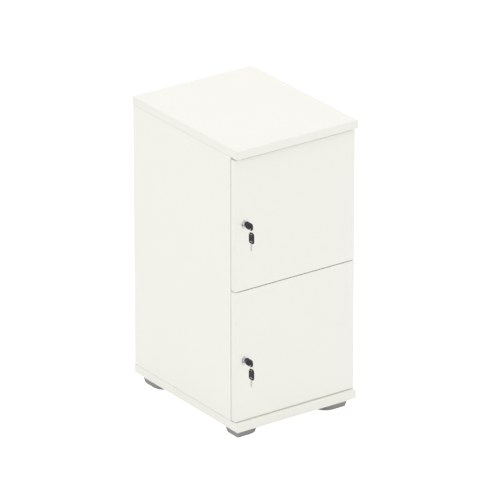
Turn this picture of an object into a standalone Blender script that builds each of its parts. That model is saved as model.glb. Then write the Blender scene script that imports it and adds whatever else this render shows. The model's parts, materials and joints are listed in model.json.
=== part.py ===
"""Two-compartment wooden locker: boards, doors, hinges, cam locks, keys and feet.

Front faces -Y, +X is to the right and +Z is up. The origin is on the floor, under the
middle of the locker with its keys in their locks. Lengths are metres.
"""
import math

import bmesh
import bpy
from mathutils import Matrix, Vector

MM = 0.001

# Carcass
WIDTH = 350 * MM
BOARD_DEPTH = 436 * MM
FOOT_HEIGHT = 25 * MM
BODY_HEIGHT = 723 * MM
CAP_THICKNESS = 22 * MM
BOARD_THICKNESS = 18 * MM
EDGE_RADIUS = 0.8 * MM
SIDE_INSET = 0.5 * MM
REAR_INSET = 0.9 * MM
SHELF_FROM_BASE = 360 * MM
BACK_THICKNESS = 8 * MM
BACK_INSET = 8 * MM
GROOVE_DEPTH = 7 * MM

# Air between two pieces that touch on the real locker
TOUCH = 0.3 * MM

# Doors
DOOR_SETBACK = 9.8 * MM
DOOR_SIDE_INSET = 1.5 * MM
DOOR_GAP = 2.4 * MM
DOOR_TOP_GAP = 5.4 * MM
DOOR_BOTTOM_GAP = 1.8 * MM
BUMPER_GAP = 1.2 * MM
BUMPER_RADIUS = 4.0 * MM
BUMPER_TIP_RADIUS = 2.2 * MM
BUMPER_SEAT_DEPTH = 1.0 * MM
BUMPER_FROM_DOOR_END = 40 * MM

# Feet
FOOT_RADIUS = 34.5 * MM
FOOT_INSET_X = 16.4 * MM
FOOT_INSET_Y = 22.5 * MM
FOOT_FLARE = 6 * MM
FOOT_EDGE = 0.8 * MM

# Locks, measured from the front face of the door; "out" is towards the viewer
LOCK_FROM_EDGE = 27.5 * MM
LOCK_Z = {"upper": 556 * MM, "lower": 205 * MM}
FLANGE_RADIUS = 11.5 * MM
FLANGE_OUT = 2.0 * MM
FLANGE_CHAMFERS = (0.3 * MM, 1.0 * MM)
RECESS_RADIUS = 9.4 * MM
RECESS_FLOOR = 0.8 * MM
BARREL_RADIUS = 9.0 * MM
BARREL_LENGTH = 24.0 * MM
PLUG_HEAD_RADIUS = 7.0 * MM
PLUG_RADIUS = 6.0 * MM
PLUG_OUT = 3.2 * MM
PLUG_CHAMFER = 0.5 * MM
PLUG_SEAT = 1.0 * MM
TANG_SIZE = 7.0 * MM
TANG_LENGTH = 2.6 * MM
CAM_THICKNESS = 2.0 * MM
CAM_REACH = 21.0 * MM
CAM_WIDTH = 10.0 * MM
CAM_EYE_RADIUS = 8.0 * MM
CAM_TIP_CHAMFER = 2.0 * MM
CAM_SCREW_HOLE = 2.2 * MM
CAM_SCREW_HEAD = (5.2 * MM, 3.4 * MM, 1.0 * MM, 2.4 * MM)
CAM_SCREW_SHANK = (1.8 * MM, 4.0 * MM)
PLATE_THICKNESS = 3.0 * MM
PLATE_REACH = (9.6 * MM, 26.0 * MM)
PLATE_HALF_HEIGHT = 14.0 * MM
STRIKE_THICKNESS = 1.5 * MM
STRIKE_HALF_WIDTH = 5.0 * MM
STRIKE_TAIL = 9.0 * MM
MORTISE_DEPTH = 12.0 * MM
MORTISE_WIDTH = 4.6 * MM

# Hinges, in plan: first the distance in from the door's hinged edge, then the depth into
# the door from its back face. The two links turn with the door in nearly fixed ratios.
HINGE_FROM_DOOR_END = 75 * MM
OUTER_ARM_PIN = (44.3 * MM, -3.6 * MM)
OUTER_CUP_PIN = (11.8 * MM, 2.2 * MM)
INNER_ARM_PIN = (34.8 * MM, 6.5 * MM)
INNER_CUP_PIN = (12.9 * MM, 4.6 * MM)
LINK_HALF_WIDTH = 2.1 * MM
LINK_THICKNESS = 4.4 * MM
PIN_RADIUS = 1.0 * MM
LOOSE_HOLE = 2.0 * MM
LOOSE_EYE = 3.1 * MM
CUP_FROM_EDGE = 22.4 * MM
CUP_RADIUS = 17.5 * MM
CUP_DEPTH = 12.0 * MM
POCKET_LENGTH = 33.4 * MM
POCKET_CORNER = 2.0 * MM
POCKET_HALF_HEIGHT = 6.3 * MM
POCKET_DEPTH = 11.2 * MM
FLANGE_IN = (18 * MM, 37 * MM)
FLANGE_DEEP = (-1.1 * MM, -TOUCH)
WING_HALF_HEIGHT = 25 * MM
FORK_HALF_HEIGHT = 6.0 * MM
FORK_GAP = 5.0 * MM
ARM_EYE = 3.0 * MM
ARM_IN = (25.6 * MM, 36.0 * MM)
ARM_BACK = 58 * MM
WEB_BACK = 8.5 * MM
ARM_STEPS = (2 * MM, 6 * MM)
PIN_LENGTH_SPARE = 1.0 * MM
CUP_NECK_INSET = 2.0 * MM
CUP_NECK = (-0.5 * MM, 0.9 * MM)
PIN_PAST_MIDDLE = 0.5 * MM
RAIL_FRONT = 18.5 * MM
WING_THICKNESS = 2.0 * MM
WING_DEEP = (-28 * MM, -48 * MM)

# Keys
KEY_HEAD_OUT = 3.9 * MM
KEY_HEAD_LENGTH = 27.0 * MM
KEY_HEAD_WIDTH = 18.0 * MM
KEY_HEAD_THICKNESS = 4.0 * MM
KEY_NECK_HALF_WIDTH = 5.5 * MM
KEY_SHOULDER = 5.0 * MM
KEY_CORNER = 6.5 * MM
KEY_SLOT_FROM_END = 4.2 * MM
KEY_SLOT_SIZE = (10.0 * MM, 4.6 * MM)
KEY_WINDOW_FROM_NECK = 4.6 * MM
KEY_WINDOW_SIZE = (10.5 * MM, 3.0 * MM)
KEY_GRIP_SIZE = (11.4 * MM, 11.0 * MM)
KEY_GRIP_CORNER = 2.5 * MM
KEY_GRIP_FROM_NECK = 12.6 * MM
KEY_RECESS = 0.4 * MM
BLADE_THICKNESS = 1.6 * MM
BLADE_HEIGHT = 6.4 * MM
BLADE_FREE = 20.0 * MM
BLADE_IN_HEAD = 7.5 * MM
BLADE_POINT = 2.2 * MM
NOTCH_DEPTH = 1.1 * MM
NOTCH_FLAT = 0.5 * MM
NOTCH_PITCH = 3.1 * MM
NOTCH_FROM_TIP = 3.4 * MM
NOTCHES = 4
BOW_START = 2.6 * MM
BOW_HALF_WIDTH = 6.0 * MM
RING_RADIUS = 7.0 * MM
RING_WIRE = 0.65 * MM
RING_CLEAR = 1.65 * MM

# Places worked out from the sizes above
KEY_AXIS_OUT = KEY_HEAD_OUT + KEY_HEAD_LENGTH - KEY_SLOT_FROM_END
KEYS_OUT = KEY_AXIS_OUT + KEY_HEAD_WIDTH / 2
TOTAL_DEPTH = BOARD_DEPTH - DOOR_SETBACK + KEYS_OUT
REAR_Y = TOTAL_DEPTH / 2
CAP_FRONT_Y = REAR_Y - BOARD_DEPTH
DOOR_FRONT_Y = CAP_FRONT_Y + DOOR_SETBACK
DOOR_BACK_Y = DOOR_FRONT_Y + BOARD_THICKNESS
SIDE_FRONT_Y = DOOR_BACK_Y + BUMPER_GAP
BACK_FRONT_Y = REAR_Y - BACK_INSET - BACK_THICKNESS
HALF_WIDTH = WIDTH / 2
SIDE_OUTER_X = HALF_WIDTH - SIDE_INSET
SIDE_INNER_X = SIDE_OUTER_X - BOARD_THICKNESS
DOOR_EDGE_X = HALF_WIDTH - DOOR_SIDE_INSET
BASE_BOTTOM_Z = FOOT_HEIGHT
BASE_TOP_Z = BASE_BOTTOM_Z + CAP_THICKNESS
TOP_TOP_Z = BASE_BOTTOM_Z + BODY_HEIGHT
TOP_BOTTOM_Z = TOP_TOP_Z - CAP_THICKNESS
SHELF_Z = BASE_BOTTOM_Z + SHELF_FROM_BASE
DOOR_SPANS = {
    "upper": (SHELF_Z + DOOR_GAP / 2, TOP_BOTTOM_Z - DOOR_TOP_GAP),
    "lower": (BASE_TOP_Z + DOOR_BOTTOM_GAP, SHELF_Z - DOOR_GAP / 2),
}
LOCK_X = -DOOR_EDGE_X + LOCK_FROM_EDGE

parts = bpy.data.collections.new("two_door_locker")
cutters = bpy.data.collections.new("cutters")


def clear_scene():
    """Empty the file and add the two collections."""
    for item in list(bpy.data.objects):
        bpy.data.objects.remove(item, do_unlink=True)
    for group in (parts, cutters):
        bpy.context.scene.collection.children.link(group)


def principled(name, colour, roughness, metallic=0.0):
    """Return a material with one colour, roughness and metallic value."""
    material = bpy.data.materials.new(name)
    material.use_nodes = True
    shader = material.node_tree.nodes["Principled BSDF"]
    shader.inputs["Base Color"].default_value = (*colour, 1.0)
    shader.inputs["Roughness"].default_value = roughness
    shader.inputs["Metallic"].default_value = metallic
    return material


BOARD = principled("white_board", (0.87, 0.87, 0.82), 0.5)
GREY_PLASTIC = principled("grey_plastic", (0.27, 0.27, 0.26), 0.5)
BLACK_PLASTIC = principled("black_plastic", (0.03, 0.03, 0.03), 0.45)
CLEAR_RUBBER = principled("clear_rubber", (0.80, 0.80, 0.78), 0.3)
CHROME = principled("chrome", (0.85, 0.85, 0.86), 0.15, 1.0)
ZINC = principled("zinc", (0.62, 0.62, 0.60), 0.35, 1.0)
STEEL = principled("steel", (0.70, 0.70, 0.68), 0.3, 1.0)


def finish_object(item, name, material, smooth=True):
    """Name an object, give it its material and put it in the parts collection."""
    item.name = name
    item.data.name = name
    item.data.materials.clear()
    item.data.materials.append(material)
    if smooth:
        item.data.shade_smooth()
        item.data.set_sharp_from_angle(angle=math.radians(30))
    for group in list(item.users_collection):
        group.objects.unlink(item)
    parts.objects.link(item)
    return item


def add_bevel(item, width, segments=2, angle=40):
    """Round the sharp edges of an object."""
    bevel = item.modifiers.new("rounded_edges", "BEVEL")
    bevel.width = width
    bevel.segments = segments
    bevel.limit_method = "ANGLE"
    bevel.angle_limit = math.radians(angle)
    return item


def box(name, low, high, material=None):
    """Add a box between two corners, with its origin in its middle."""
    low, high = Vector(low), Vector(high)
    bpy.ops.mesh.primitive_cube_add(size=1.0, location=(low + high) / 2)
    item = bpy.context.object
    item.data.transform(Matrix.Diagonal((*(high - low), 1.0)))
    if material:
        finish_object(item, name, material)
    return item


def rod(name, centre, radius, depth, axis="Z", vertices=32, material=None):
    """Add a cylinder along the world's Z, or along its Y."""
    bpy.ops.mesh.primitive_cylinder_add(vertices=vertices, radius=radius, depth=depth)
    item = bpy.context.object
    if axis == "Y":
        item.data.transform(Matrix.Rotation(math.pi / 2, 4, "X"))
    item.location = centre
    if material:
        finish_object(item, name, material)
    return item


def turned(name, profile, steps, material):
    """Turn a closed (radius, height) profile round Z into a solid mesh."""
    mesh = bpy.data.meshes.new(name)
    closed = profile[0][0] > 0
    edges = [(i, i + 1) for i in range(len(profile) - 1)]
    if closed:
        edges.append((len(profile) - 1, 0))
    mesh.from_pydata([(r, 0, z) for r, z in profile], edges, [])
    item = bpy.data.objects.new(name, mesh)
    parts.objects.link(item)
    screw = item.modifiers.new("turn", "SCREW")
    screw.steps = screw.render_steps = steps
    screw.use_merge_vertices = True
    screw.merge_threshold = 0.00001
    return finish_object(bake(item), name, material)


def bake(item):
    """Replace an object by a plain mesh of its evaluated shape, at the same place."""
    bpy.context.view_layer.update()
    graph = bpy.context.evaluated_depsgraph_get()
    mesh = bpy.data.meshes.new_from_object(item.evaluated_get(graph))
    flat = bpy.data.objects.new(item.name, mesh)
    flat.matrix_world = item.matrix_world
    bpy.context.scene.collection.objects.link(flat)
    bpy.data.objects.remove(item, do_unlink=True)
    work = bmesh.new()
    work.from_mesh(mesh)
    bmesh.ops.remove_doubles(work, verts=work.verts, dist=0.00001)
    work.to_mesh(mesh)
    work.free()
    return flat


def plate(name, outline, thickness, place, material=None):
    """Extrude a flat outline, half its thickness to each side of its own XY plane."""
    curve = bpy.data.curves.new(name, "CURVE")
    curve.dimensions = "2D"
    curve.fill_mode = "BOTH"
    curve.extrude = thickness / 2
    spline = curve.splines.new("POLY")
    spline.points.add(len(outline) - 1)
    for point, (x, y) in zip(spline.points, outline):
        point.co = (x, y, 0, 1)
    spline.use_cyclic_u = True
    item = bpy.data.objects.new(name, curve)
    bpy.context.scene.collection.objects.link(item)
    item.matrix_world = place
    solid = bake(item)
    return finish_object(solid, name, material) if material else solid


def boolean(item, tool, operation="DIFFERENCE"):
    """Cut an object by a hidden tool that moves with it, or join the two."""
    modifier = item.modifiers.new(operation.lower(), "BOOLEAN")
    modifier.operation = operation
    modifier.object = tool
    bpy.context.view_layer.update()
    tool.parent = item
    tool.matrix_parent_inverse = item.matrix_world.inverted()
    tool.hide_render = True
    tool.display_type = "WIRE"
    for group in list(tool.users_collection):
        group.objects.unlink(tool)
    cutters.objects.link(tool)
    return item


def arc(centre, radius, start, end, count):
    """Return points of an arc, in degrees, both ends included."""
    step = (end - start) / (count - 1)
    angles = [math.radians(start + step * i) for i in range(count)]
    return [(centre[0] + radius * math.cos(a), centre[1] + radius * math.sin(a)) for a in angles]


def rounded_outline(width, height, radii, count=5, centre=(0.0, 0.0)):
    """Return a rectangle's outline with its own radius at each corner.

    The radii go round from the lower left corner, counter-clockwise.
    """
    points = []
    corners = ((-1, -1, 180), (1, -1, 270), (1, 1, 0), (-1, 1, 90))
    for (sx, sy, start), radius in zip(corners, radii):
        middle = (centre[0] + sx * (width / 2 - radius), centre[1] + sy * (height / 2 - radius))
        points += arc(middle, radius, start, start + 90, count)
    return points


def pivot(name, place):
    """Add an empty on a joint's axis, for the pieces that turn or slide with it."""
    empty = bpy.data.objects.new(name, None)
    empty.empty_display_size = 0.02
    empty.location = place
    parts.objects.link(empty)
    return empty


def hang_on(parent, *items):
    """Parent objects to an empty and keep them where they are."""
    bpy.context.view_layer.update()
    for item in items:
        item.parent = parent
        item.matrix_parent_inverse = parent.matrix_world.inverted()


def frame(origin, x_axis, y_axis):
    """Return a placing matrix from an origin and two unit axes."""
    x_axis, y_axis = Vector(x_axis), Vector(y_axis)
    z_axis = x_axis.cross(y_axis)
    turn = Matrix((x_axis, y_axis, z_axis)).transposed()
    return Matrix.Translation(origin) @ turn.to_4x4()


def build_carcass():
    """Make the top, base, sides, middle shelf and back panel."""
    caps = {
        "top_panel": (TOP_BOTTOM_Z, TOP_TOP_Z),
        "base_panel": (BASE_BOTTOM_Z, BASE_TOP_Z),
    }
    groove_low = BACK_FRONT_Y - TOUCH
    groove_high = BACK_FRONT_Y + BACK_THICKNESS + TOUCH
    back_low_z = BASE_TOP_Z - GROOVE_DEPTH
    back_high_z = TOP_BOTTOM_Z + GROOVE_DEPTH
    back_half = SIDE_INNER_X + GROOVE_DEPTH
    groove = ((-back_half, groove_low, back_low_z), (back_half, groove_high, back_high_z))
    for name, (low_z, high_z) in caps.items():
        panel = box(name, (-HALF_WIDTH, CAP_FRONT_Y, low_z), (HALF_WIDTH, REAR_Y, high_z), BOARD)
        add_bevel(panel, EDGE_RADIUS)
        boolean(panel, box(name + "_groove", *groove))
    for name, side in (("side_panel_left", -1), ("side_panel_right", 1)):
        near, far = sorted((side * SIDE_INNER_X, side * SIDE_OUTER_X))
        low = (near, SIDE_FRONT_Y, BASE_TOP_Z + TOUCH)
        high = (far, REAR_Y - REAR_INSET, TOP_BOTTOM_Z - TOUCH)
        panel = box(name, low, high, BOARD)
        add_bevel(panel, EDGE_RADIUS / 2)
        boolean(panel, box(name + "_groove", (groove[0][0], groove_low, BASE_BOTTOM_Z),
                           (groove[1][0], groove_high, TOP_TOP_Z)))
        if side < 0:
            for door in LOCK_Z:
                cut_strike_seat(panel, door)
    shelf_half = SIDE_INNER_X - TOUCH
    shelf = box("middle_shelf", (-shelf_half, SIDE_FRONT_Y, SHELF_Z - BOARD_THICKNESS / 2),
                (shelf_half, BACK_FRONT_Y - TOUCH, SHELF_Z + BOARD_THICKNESS / 2), BOARD)
    add_bevel(shelf, EDGE_RADIUS / 2)
    box("back_panel", (TOUCH - back_half, BACK_FRONT_Y, back_low_z + TOUCH),
        (back_half - TOUCH, BACK_FRONT_Y + BACK_THICKNESS, back_high_z - TOUCH), BOARD)


def build_foot(name, side_x, side_y):
    """Make a foot: a round foot drawn out to one sharp corner, wider at the top."""
    centre_x = HALF_WIDTH - FOOT_INSET_X - FOOT_RADIUS
    centre_y = BOARD_DEPTH / 2 - FOOT_INSET_Y - FOOT_RADIUS
    middle_y = REAR_Y - BOARD_DEPTH / 2
    outline = arc((0, 0), FOOT_RADIUS, 90, 360, 28) + [(FOOT_RADIUS, FOOT_RADIUS)]
    height = FOOT_HEIGHT - TOUCH
    place = Matrix.Translation((side_x * centre_x, middle_y + side_y * centre_y, height / 2))
    foot = plate(name, [(x * side_x, y * side_y) for x, y in outline], height, place)
    widen = 1 + FOOT_FLARE / FOOT_RADIUS
    for vertex in foot.data.vertices:
        if vertex.co.z > 0:
            vertex.co.x *= widen
            vertex.co.y *= widen
    finish_object(foot, name, GREY_PLASTIC)
    add_bevel(foot, FOOT_EDGE, angle=60)


def cam_plane_y():
    """Return the Y of the middle of a cam's thickness."""
    return DOOR_FRONT_Y + BARREL_LENGTH + 2 * TOUCH + CAM_THICKNESS / 2


def mortise_span():
    """Return how far below and above the lock's axis the cam sweeps through the side panel."""
    to_side = LOCK_X + SIDE_INNER_X
    tip = math.hypot(CAM_REACH, CAM_WIDTH / 2)
    return CAM_WIDTH / 2 + 2 * TOUCH, math.sqrt(tip ** 2 - to_side ** 2) + 2 * TOUCH


def cut_strike_seat(panel, door):
    """Cut the cam's mortise and the strike plate's seat into the left side panel."""
    below, above = mortise_span()
    y, z = cam_plane_y(), LOCK_Z[door]
    half = MORTISE_WIDTH / 2
    boolean(panel, box(door + "_mortise", (-SIDE_INNER_X - MORTISE_DEPTH, y - half, z - below),
                       (-SIDE_INNER_X + MORTISE_DEPTH, y + half, z + above)))
    low, high = strike_corners(door, TOUCH, STRIKE_THICKNESS)
    boolean(panel, box(door + "_strike_seat", low, high))


def strike_corners(door, margin, opening=0.0):
    """Return a strike plate's corners, or its seat's, which is larger and open at its front."""
    below, above = mortise_span()
    y, z = cam_plane_y(), LOCK_Z[door]
    wide, tail = STRIKE_HALF_WIDTH + margin, STRIKE_TAIL + margin
    low = (-SIDE_INNER_X - STRIKE_THICKNESS - margin, y - wide, z - below - tail)
    high = (-SIDE_INNER_X + opening, y + wide, z + above + tail)
    return low, high


def build_strike(door):
    """Make the strike plate that the cam passes through, flush with the side panel."""
    below, above = mortise_span()
    y, z = cam_plane_y(), LOCK_Z[door]
    low, high = strike_corners(door, 0.0)
    strike = box(door + "_strike_plate", low, high, STEEL)
    half = MORTISE_WIDTH / 2
    boolean(strike, box(door + "_strike_slot", (-SIDE_OUTER_X, y - half, z - below),
                        (LOCK_X, y + half, z + above)))


def build_door(door):
    """Make a door board with its lock bore and bumper seats."""
    low_z, high_z = DOOR_SPANS[door]
    panel = box(door + "_door", (-DOOR_EDGE_X, DOOR_FRONT_Y, low_z), (DOOR_EDGE_X, DOOR_BACK_Y, high_z), BOARD)
    add_bevel(panel, EDGE_RADIUS)
    centre = (LOCK_X, (DOOR_FRONT_Y + DOOR_BACK_Y) / 2, LOCK_Z[door])
    boolean(panel, rod(door + "_lock_bore", centre, BARREL_RADIUS + TOUCH, 2 * BOARD_THICKNESS, "Y"))
    return panel


def build_bumpers(door, panel):
    """Sink two soft bumpers into the door's back, in front of the left side panel's edge."""
    x = -(SIDE_INNER_X + SIDE_OUTER_X) / 2
    low_z, high_z = DOOR_SPANS[door]
    front = DOOR_BACK_Y - BUMPER_SEAT_DEPTH + TOUCH
    height = SIDE_FRONT_Y - TOUCH - front
    profile = [(0, height), (BUMPER_TIP_RADIUS, height), (BUMPER_RADIUS, height / 2), (BUMPER_RADIUS, 0),
               (0, 0)]
    bumpers = []
    for label, z in (("top", high_z - BUMPER_FROM_DOOR_END), ("bottom", low_z + BUMPER_FROM_DOOR_END)):
        boolean(panel, rod(f"{door}_bumper_seat_{label}", (x, DOOR_BACK_Y, z), BUMPER_RADIUS + TOUCH,
                           2 * BUMPER_SEAT_DEPTH, "Y", 24))
        bumper = turned(f"{door}_bumper_{label}", profile, 24, CLEAR_RUBBER)
        bumper.matrix_world = frame((x, front, z), (1, 0, 0), (0, 0, -1))
        bumpers.append(bumper)
    return bumpers


def hinge_point(place, z=0.0):
    """Return the world point of a place in the hinge's plan."""
    distance_in, depth = place
    return Vector((DOOR_EDGE_X - distance_in, DOOR_BACK_Y - depth, z))


def plan_plate(name, outline, thickness, z, material=None):
    """Extrude an outline given in the hinge's plan, about the height z."""
    points = [tuple(hinge_point(place).xy) for place in outline]
    return plate(name, points, thickness, Matrix.Translation((0, 0, z)), material)


def plan_box(name, span_in, span_deep, span_z, material=None):
    """Add a box from its spans in the hinge's plan and in Z."""
    low = hinge_point((max(span_in), max(span_deep)), min(span_z))
    high = hinge_point((min(span_in), min(span_deep)), max(span_z))
    return box(name, low, high, material)


def build_link(name, arm_pin, cup_pin, layer_z, cup_eye, cup_hole):
    """Make a link: a flat bar with an eye at each end."""
    start, end = Vector(arm_pin), Vector(cup_pin)
    along = math.degrees(math.atan2(end.y - start.y, end.x - start.x))
    outline = arc(start, LINK_HALF_WIDTH, along + 90, along + 270, 9)
    if cup_eye > LINK_HALF_WIDTH:
        neck = math.degrees(math.asin(LINK_HALF_WIDTH / cup_eye))
    else:
        neck = 90
    outline += arc(end, cup_eye, along - 180 + neck, along + 180 - neck, 13)
    link = plan_plate(name, outline, LINK_THICKNESS, layer_z, STEEL)
    for pin, radius in ((arm_pin, PIN_RADIUS + TOUCH), (cup_pin, cup_hole)):
        boolean(link, rod(name + "_hole", hinge_point(pin, layer_z), radius, 0.01, "Z", 16))
    return link


def build_arm(name, z):
    """Make a hinge arm: a forked bar with the two fixed pins in its fork."""
    arc_inner = arc(INNER_ARM_PIN, ARM_EYE, 180, 0, 9)
    arc_outer = arc(OUTER_ARM_PIN, ARM_EYE, 90, -45, 7)
    near, far = ARM_IN
    outline = arc_inner + [(INNER_ARM_PIN[0] + ARM_EYE, OUTER_ARM_PIN[1] + ARM_EYE)] + arc_outer
    step, shoulder = ARM_STEPS
    outline += [(OUTER_ARM_PIN[0] - step, -WEB_BACK - step), (far, -WEB_BACK - shoulder), (far, -ARM_BACK),
                (near, -ARM_BACK), (near, -WEB_BACK - shoulder), (INNER_ARM_PIN[0] - ARM_EYE, -WEB_BACK)]
    arm = plan_plate(name, outline, 2 * FORK_HALF_HEIGHT, z, STEEL)
    boolean(arm, plan_box(name + "_fork", (0, 2 * far), (-WEB_BACK, CUP_DEPTH), (z - FORK_GAP, z + FORK_GAP)))
    for pin, side in ((OUTER_ARM_PIN, 1), (INNER_ARM_PIN, -1)):
        middle = z + side * (FORK_HALF_HEIGHT - PIN_LENGTH_SPARE / 2) / 2
        boolean(arm, rod(name + "_pin", hinge_point(pin, middle), PIN_RADIUS,
                         FORK_HALF_HEIGHT - PIN_LENGTH_SPARE, "Z", 16), "UNION")
    return arm


def build_cup(name, z):
    """Make a hinge cup with its flange, its pocket and its two pins."""
    middle = hinge_point((CUP_FROM_EDGE, CUP_DEPTH / 2), z)
    cup = rod(name, middle, CUP_RADIUS, CUP_DEPTH, "Y", 48, STEEL)
    flange = plan_box(name + "_flange", FLANGE_IN, FLANGE_DEEP, (z - WING_HALF_HEIGHT, z + WING_HALF_HEIGHT))
    neck_middle = hinge_point((CUP_FROM_EDGE, sum(CUP_NECK) / 2), z)
    neck = rod(name + "_neck", neck_middle, CUP_RADIUS - CUP_NECK_INSET, CUP_NECK[1] - CUP_NECK[0], "Y", 48)
    boolean(cup, neck, "UNION")
    boolean(cup, flange, "UNION")
    pocket = rounded_outline(POCKET_LENGTH, 2 * POCKET_HALF_HEIGHT, [POCKET_CORNER] * 4)
    opening = frame(hinge_point((CUP_FROM_EDGE, 0), z), (1, 0, 0), (0, 0, 1))
    boolean(cup, plate(name + "_pocket", pocket, 2 * POCKET_DEPTH, opening))
    for pin, side in ((OUTER_CUP_PIN, 1), (INNER_CUP_PIN, -1)):
        middle = z + side * (POCKET_HALF_HEIGHT / 2 + PIN_PAST_MIDDLE)
        boolean(cup, rod(name + "_pin", hinge_point(pin, middle), PIN_RADIUS, POCKET_HALF_HEIGHT, "Z", 16),
                "UNION")
    return cup


def build_mounting_plate(name, z):
    """Make the plate that holds a hinge arm on the side panel."""
    wall = DOOR_EDGE_X - SIDE_INNER_X + TOUCH
    rail = plan_box(name, (wall, ARM_IN[0] - TOUCH), (-RAIL_FRONT, -ARM_BACK),
                    (z - FORK_HALF_HEIGHT, z + FORK_HALF_HEIGHT), STEEL)
    wings = plan_box(name + "_wings", (wall, wall + WING_THICKNESS), WING_DEEP,
                     (z - WING_HALF_HEIGHT, z + WING_HALF_HEIGHT))
    return boolean(rail, wings, "UNION")


def build_hinges(door, panel):
    """Make a door's two hinges; return the cups, the outer links and the inner links."""
    low_z, high_z = DOOR_SPANS[door]
    cups, outer_links, inner_links = [], [], []
    heights = {"top": high_z - HINGE_FROM_DOOR_END, "bottom": low_z + HINGE_FROM_DOOR_END}
    layer = TOUCH + LINK_THICKNESS / 2
    for label, z in heights.items():
        name = f"{door}_hinge_{label}_"
        bore_middle = hinge_point((CUP_FROM_EDGE, CUP_DEPTH / 2), z)
        boolean(panel, rod(name + "bore", bore_middle, CUP_RADIUS + TOUCH, CUP_DEPTH + 2 * TOUCH, "Y", 48))
        build_arm(name + "arm", z)
        build_mounting_plate(name + "plate", z)
        cups.append(build_cup(name + "cup", z))
        outer_links.append(build_link(name + "outer_link", OUTER_ARM_PIN, OUTER_CUP_PIN, z + layer,
                                      LINK_HALF_WIDTH, PIN_RADIUS + TOUCH))
        inner_links.append(build_link(name + "inner_link", INNER_ARM_PIN, INNER_CUP_PIN, z - layer,
                                      LOOSE_EYE, LOOSE_HOLE))
    return cups, outer_links, inner_links


def lock_frame(door, out=0.0):
    """Return a frame on a lock's axis whose Z points out of the door, X to the right."""
    origin = (LOCK_X, DOOR_FRONT_Y - out, LOCK_Z[door])
    return frame(origin, (1, 0, 0), (0, 0, 1))


def build_lock(door):
    """Make the housing, plug, fixing plate, cam and cam screw of one lock."""
    counterbore = PLUG_HEAD_RADIUS + TOUCH
    barrel_bore = PLUG_RADIUS + TOUCH
    seat = -PLUG_SEAT - TOUCH
    inner, outer = FLANGE_CHAMFERS
    housing = turned(door + "_lock_housing", [
        (counterbore, RECESS_FLOOR), (RECESS_RADIUS, RECESS_FLOOR), (RECESS_RADIUS, FLANGE_OUT - inner),
        (RECESS_RADIUS + inner, FLANGE_OUT), (FLANGE_RADIUS - outer, FLANGE_OUT),
        (FLANGE_RADIUS, FLANGE_OUT - outer), (FLANGE_RADIUS, TOUCH), (BARREL_RADIUS, TOUCH),
        (BARREL_RADIUS, -BARREL_LENGTH), (barrel_bore, -BARREL_LENGTH), (barrel_bore, seat),
        (counterbore, seat)], 40, CHROME)
    plug = turned(door + "_lock_plug", [
        (0, PLUG_OUT), (PLUG_HEAD_RADIUS - PLUG_CHAMFER, PLUG_OUT), (PLUG_HEAD_RADIUS, PLUG_OUT - PLUG_CHAMFER),
        (PLUG_HEAD_RADIUS, -PLUG_SEAT), (PLUG_RADIUS, -PLUG_SEAT), (PLUG_RADIUS, -BARREL_LENGTH - TOUCH),
        (0, -BARREL_LENGTH - TOUCH)], 40, CHROME)
    for item in (housing, plug):
        item.matrix_world = lock_frame(door)
    bpy.context.view_layer.update()
    add_tang_and_keyway(door, plug)
    middle = DOOR_BACK_Y + TOUCH + PLATE_THICKNESS / 2
    left, right = PLATE_REACH
    outline = rounded_outline(left + right, 2 * PLATE_HALF_HEIGHT, (2 * MM, 4 * MM, 4 * MM, 2 * MM), 4,
                              ((right - left) / 2, 0))
    fixing = plate(door + "_lock_plate", outline, PLATE_THICKNESS,
                   lock_frame(door, DOOR_FRONT_Y - middle), ZINC)
    boolean(fixing, rod(door + "_plate_bore", (LOCK_X, middle, LOCK_Z[door]), BARREL_RADIUS + TOUCH, 0.02, "Y"))
    cam, screw = build_cam(door)
    return [housing, fixing], [plug, cam, screw]


def add_tang_and_keyway(door, plug):
    """Join the square tang to a plug, and cut its keyway and the cam screw's hole."""
    y_end = DOOR_FRONT_Y + BARREL_LENGTH + TOUCH
    half, z = TANG_SIZE / 2, LOCK_Z[door]
    boolean(plug, box(door + "_tang", (LOCK_X - half, y_end - 1 * MM, z - half),
                      (LOCK_X + half, y_end + TANG_LENGTH, z + half)), "UNION")
    key_half = BLADE_THICKNESS / 2 + TOUCH
    key_tall = BLADE_HEIGHT / 2 + TOUCH
    key_end = DOOR_FRONT_Y + BLADE_FREE
    boolean(plug, box(door + "_keyway", (LOCK_X - key_half, DOOR_FRONT_Y - 0.01, z - key_tall),
                      (LOCK_X + key_half, key_end, z + key_tall)))
    boolean(plug, rod(door + "_screw_hole", (LOCK_X, y_end + TANG_LENGTH, z), CAM_SCREW_HOLE, 0.01, "Y", 20))


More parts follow.
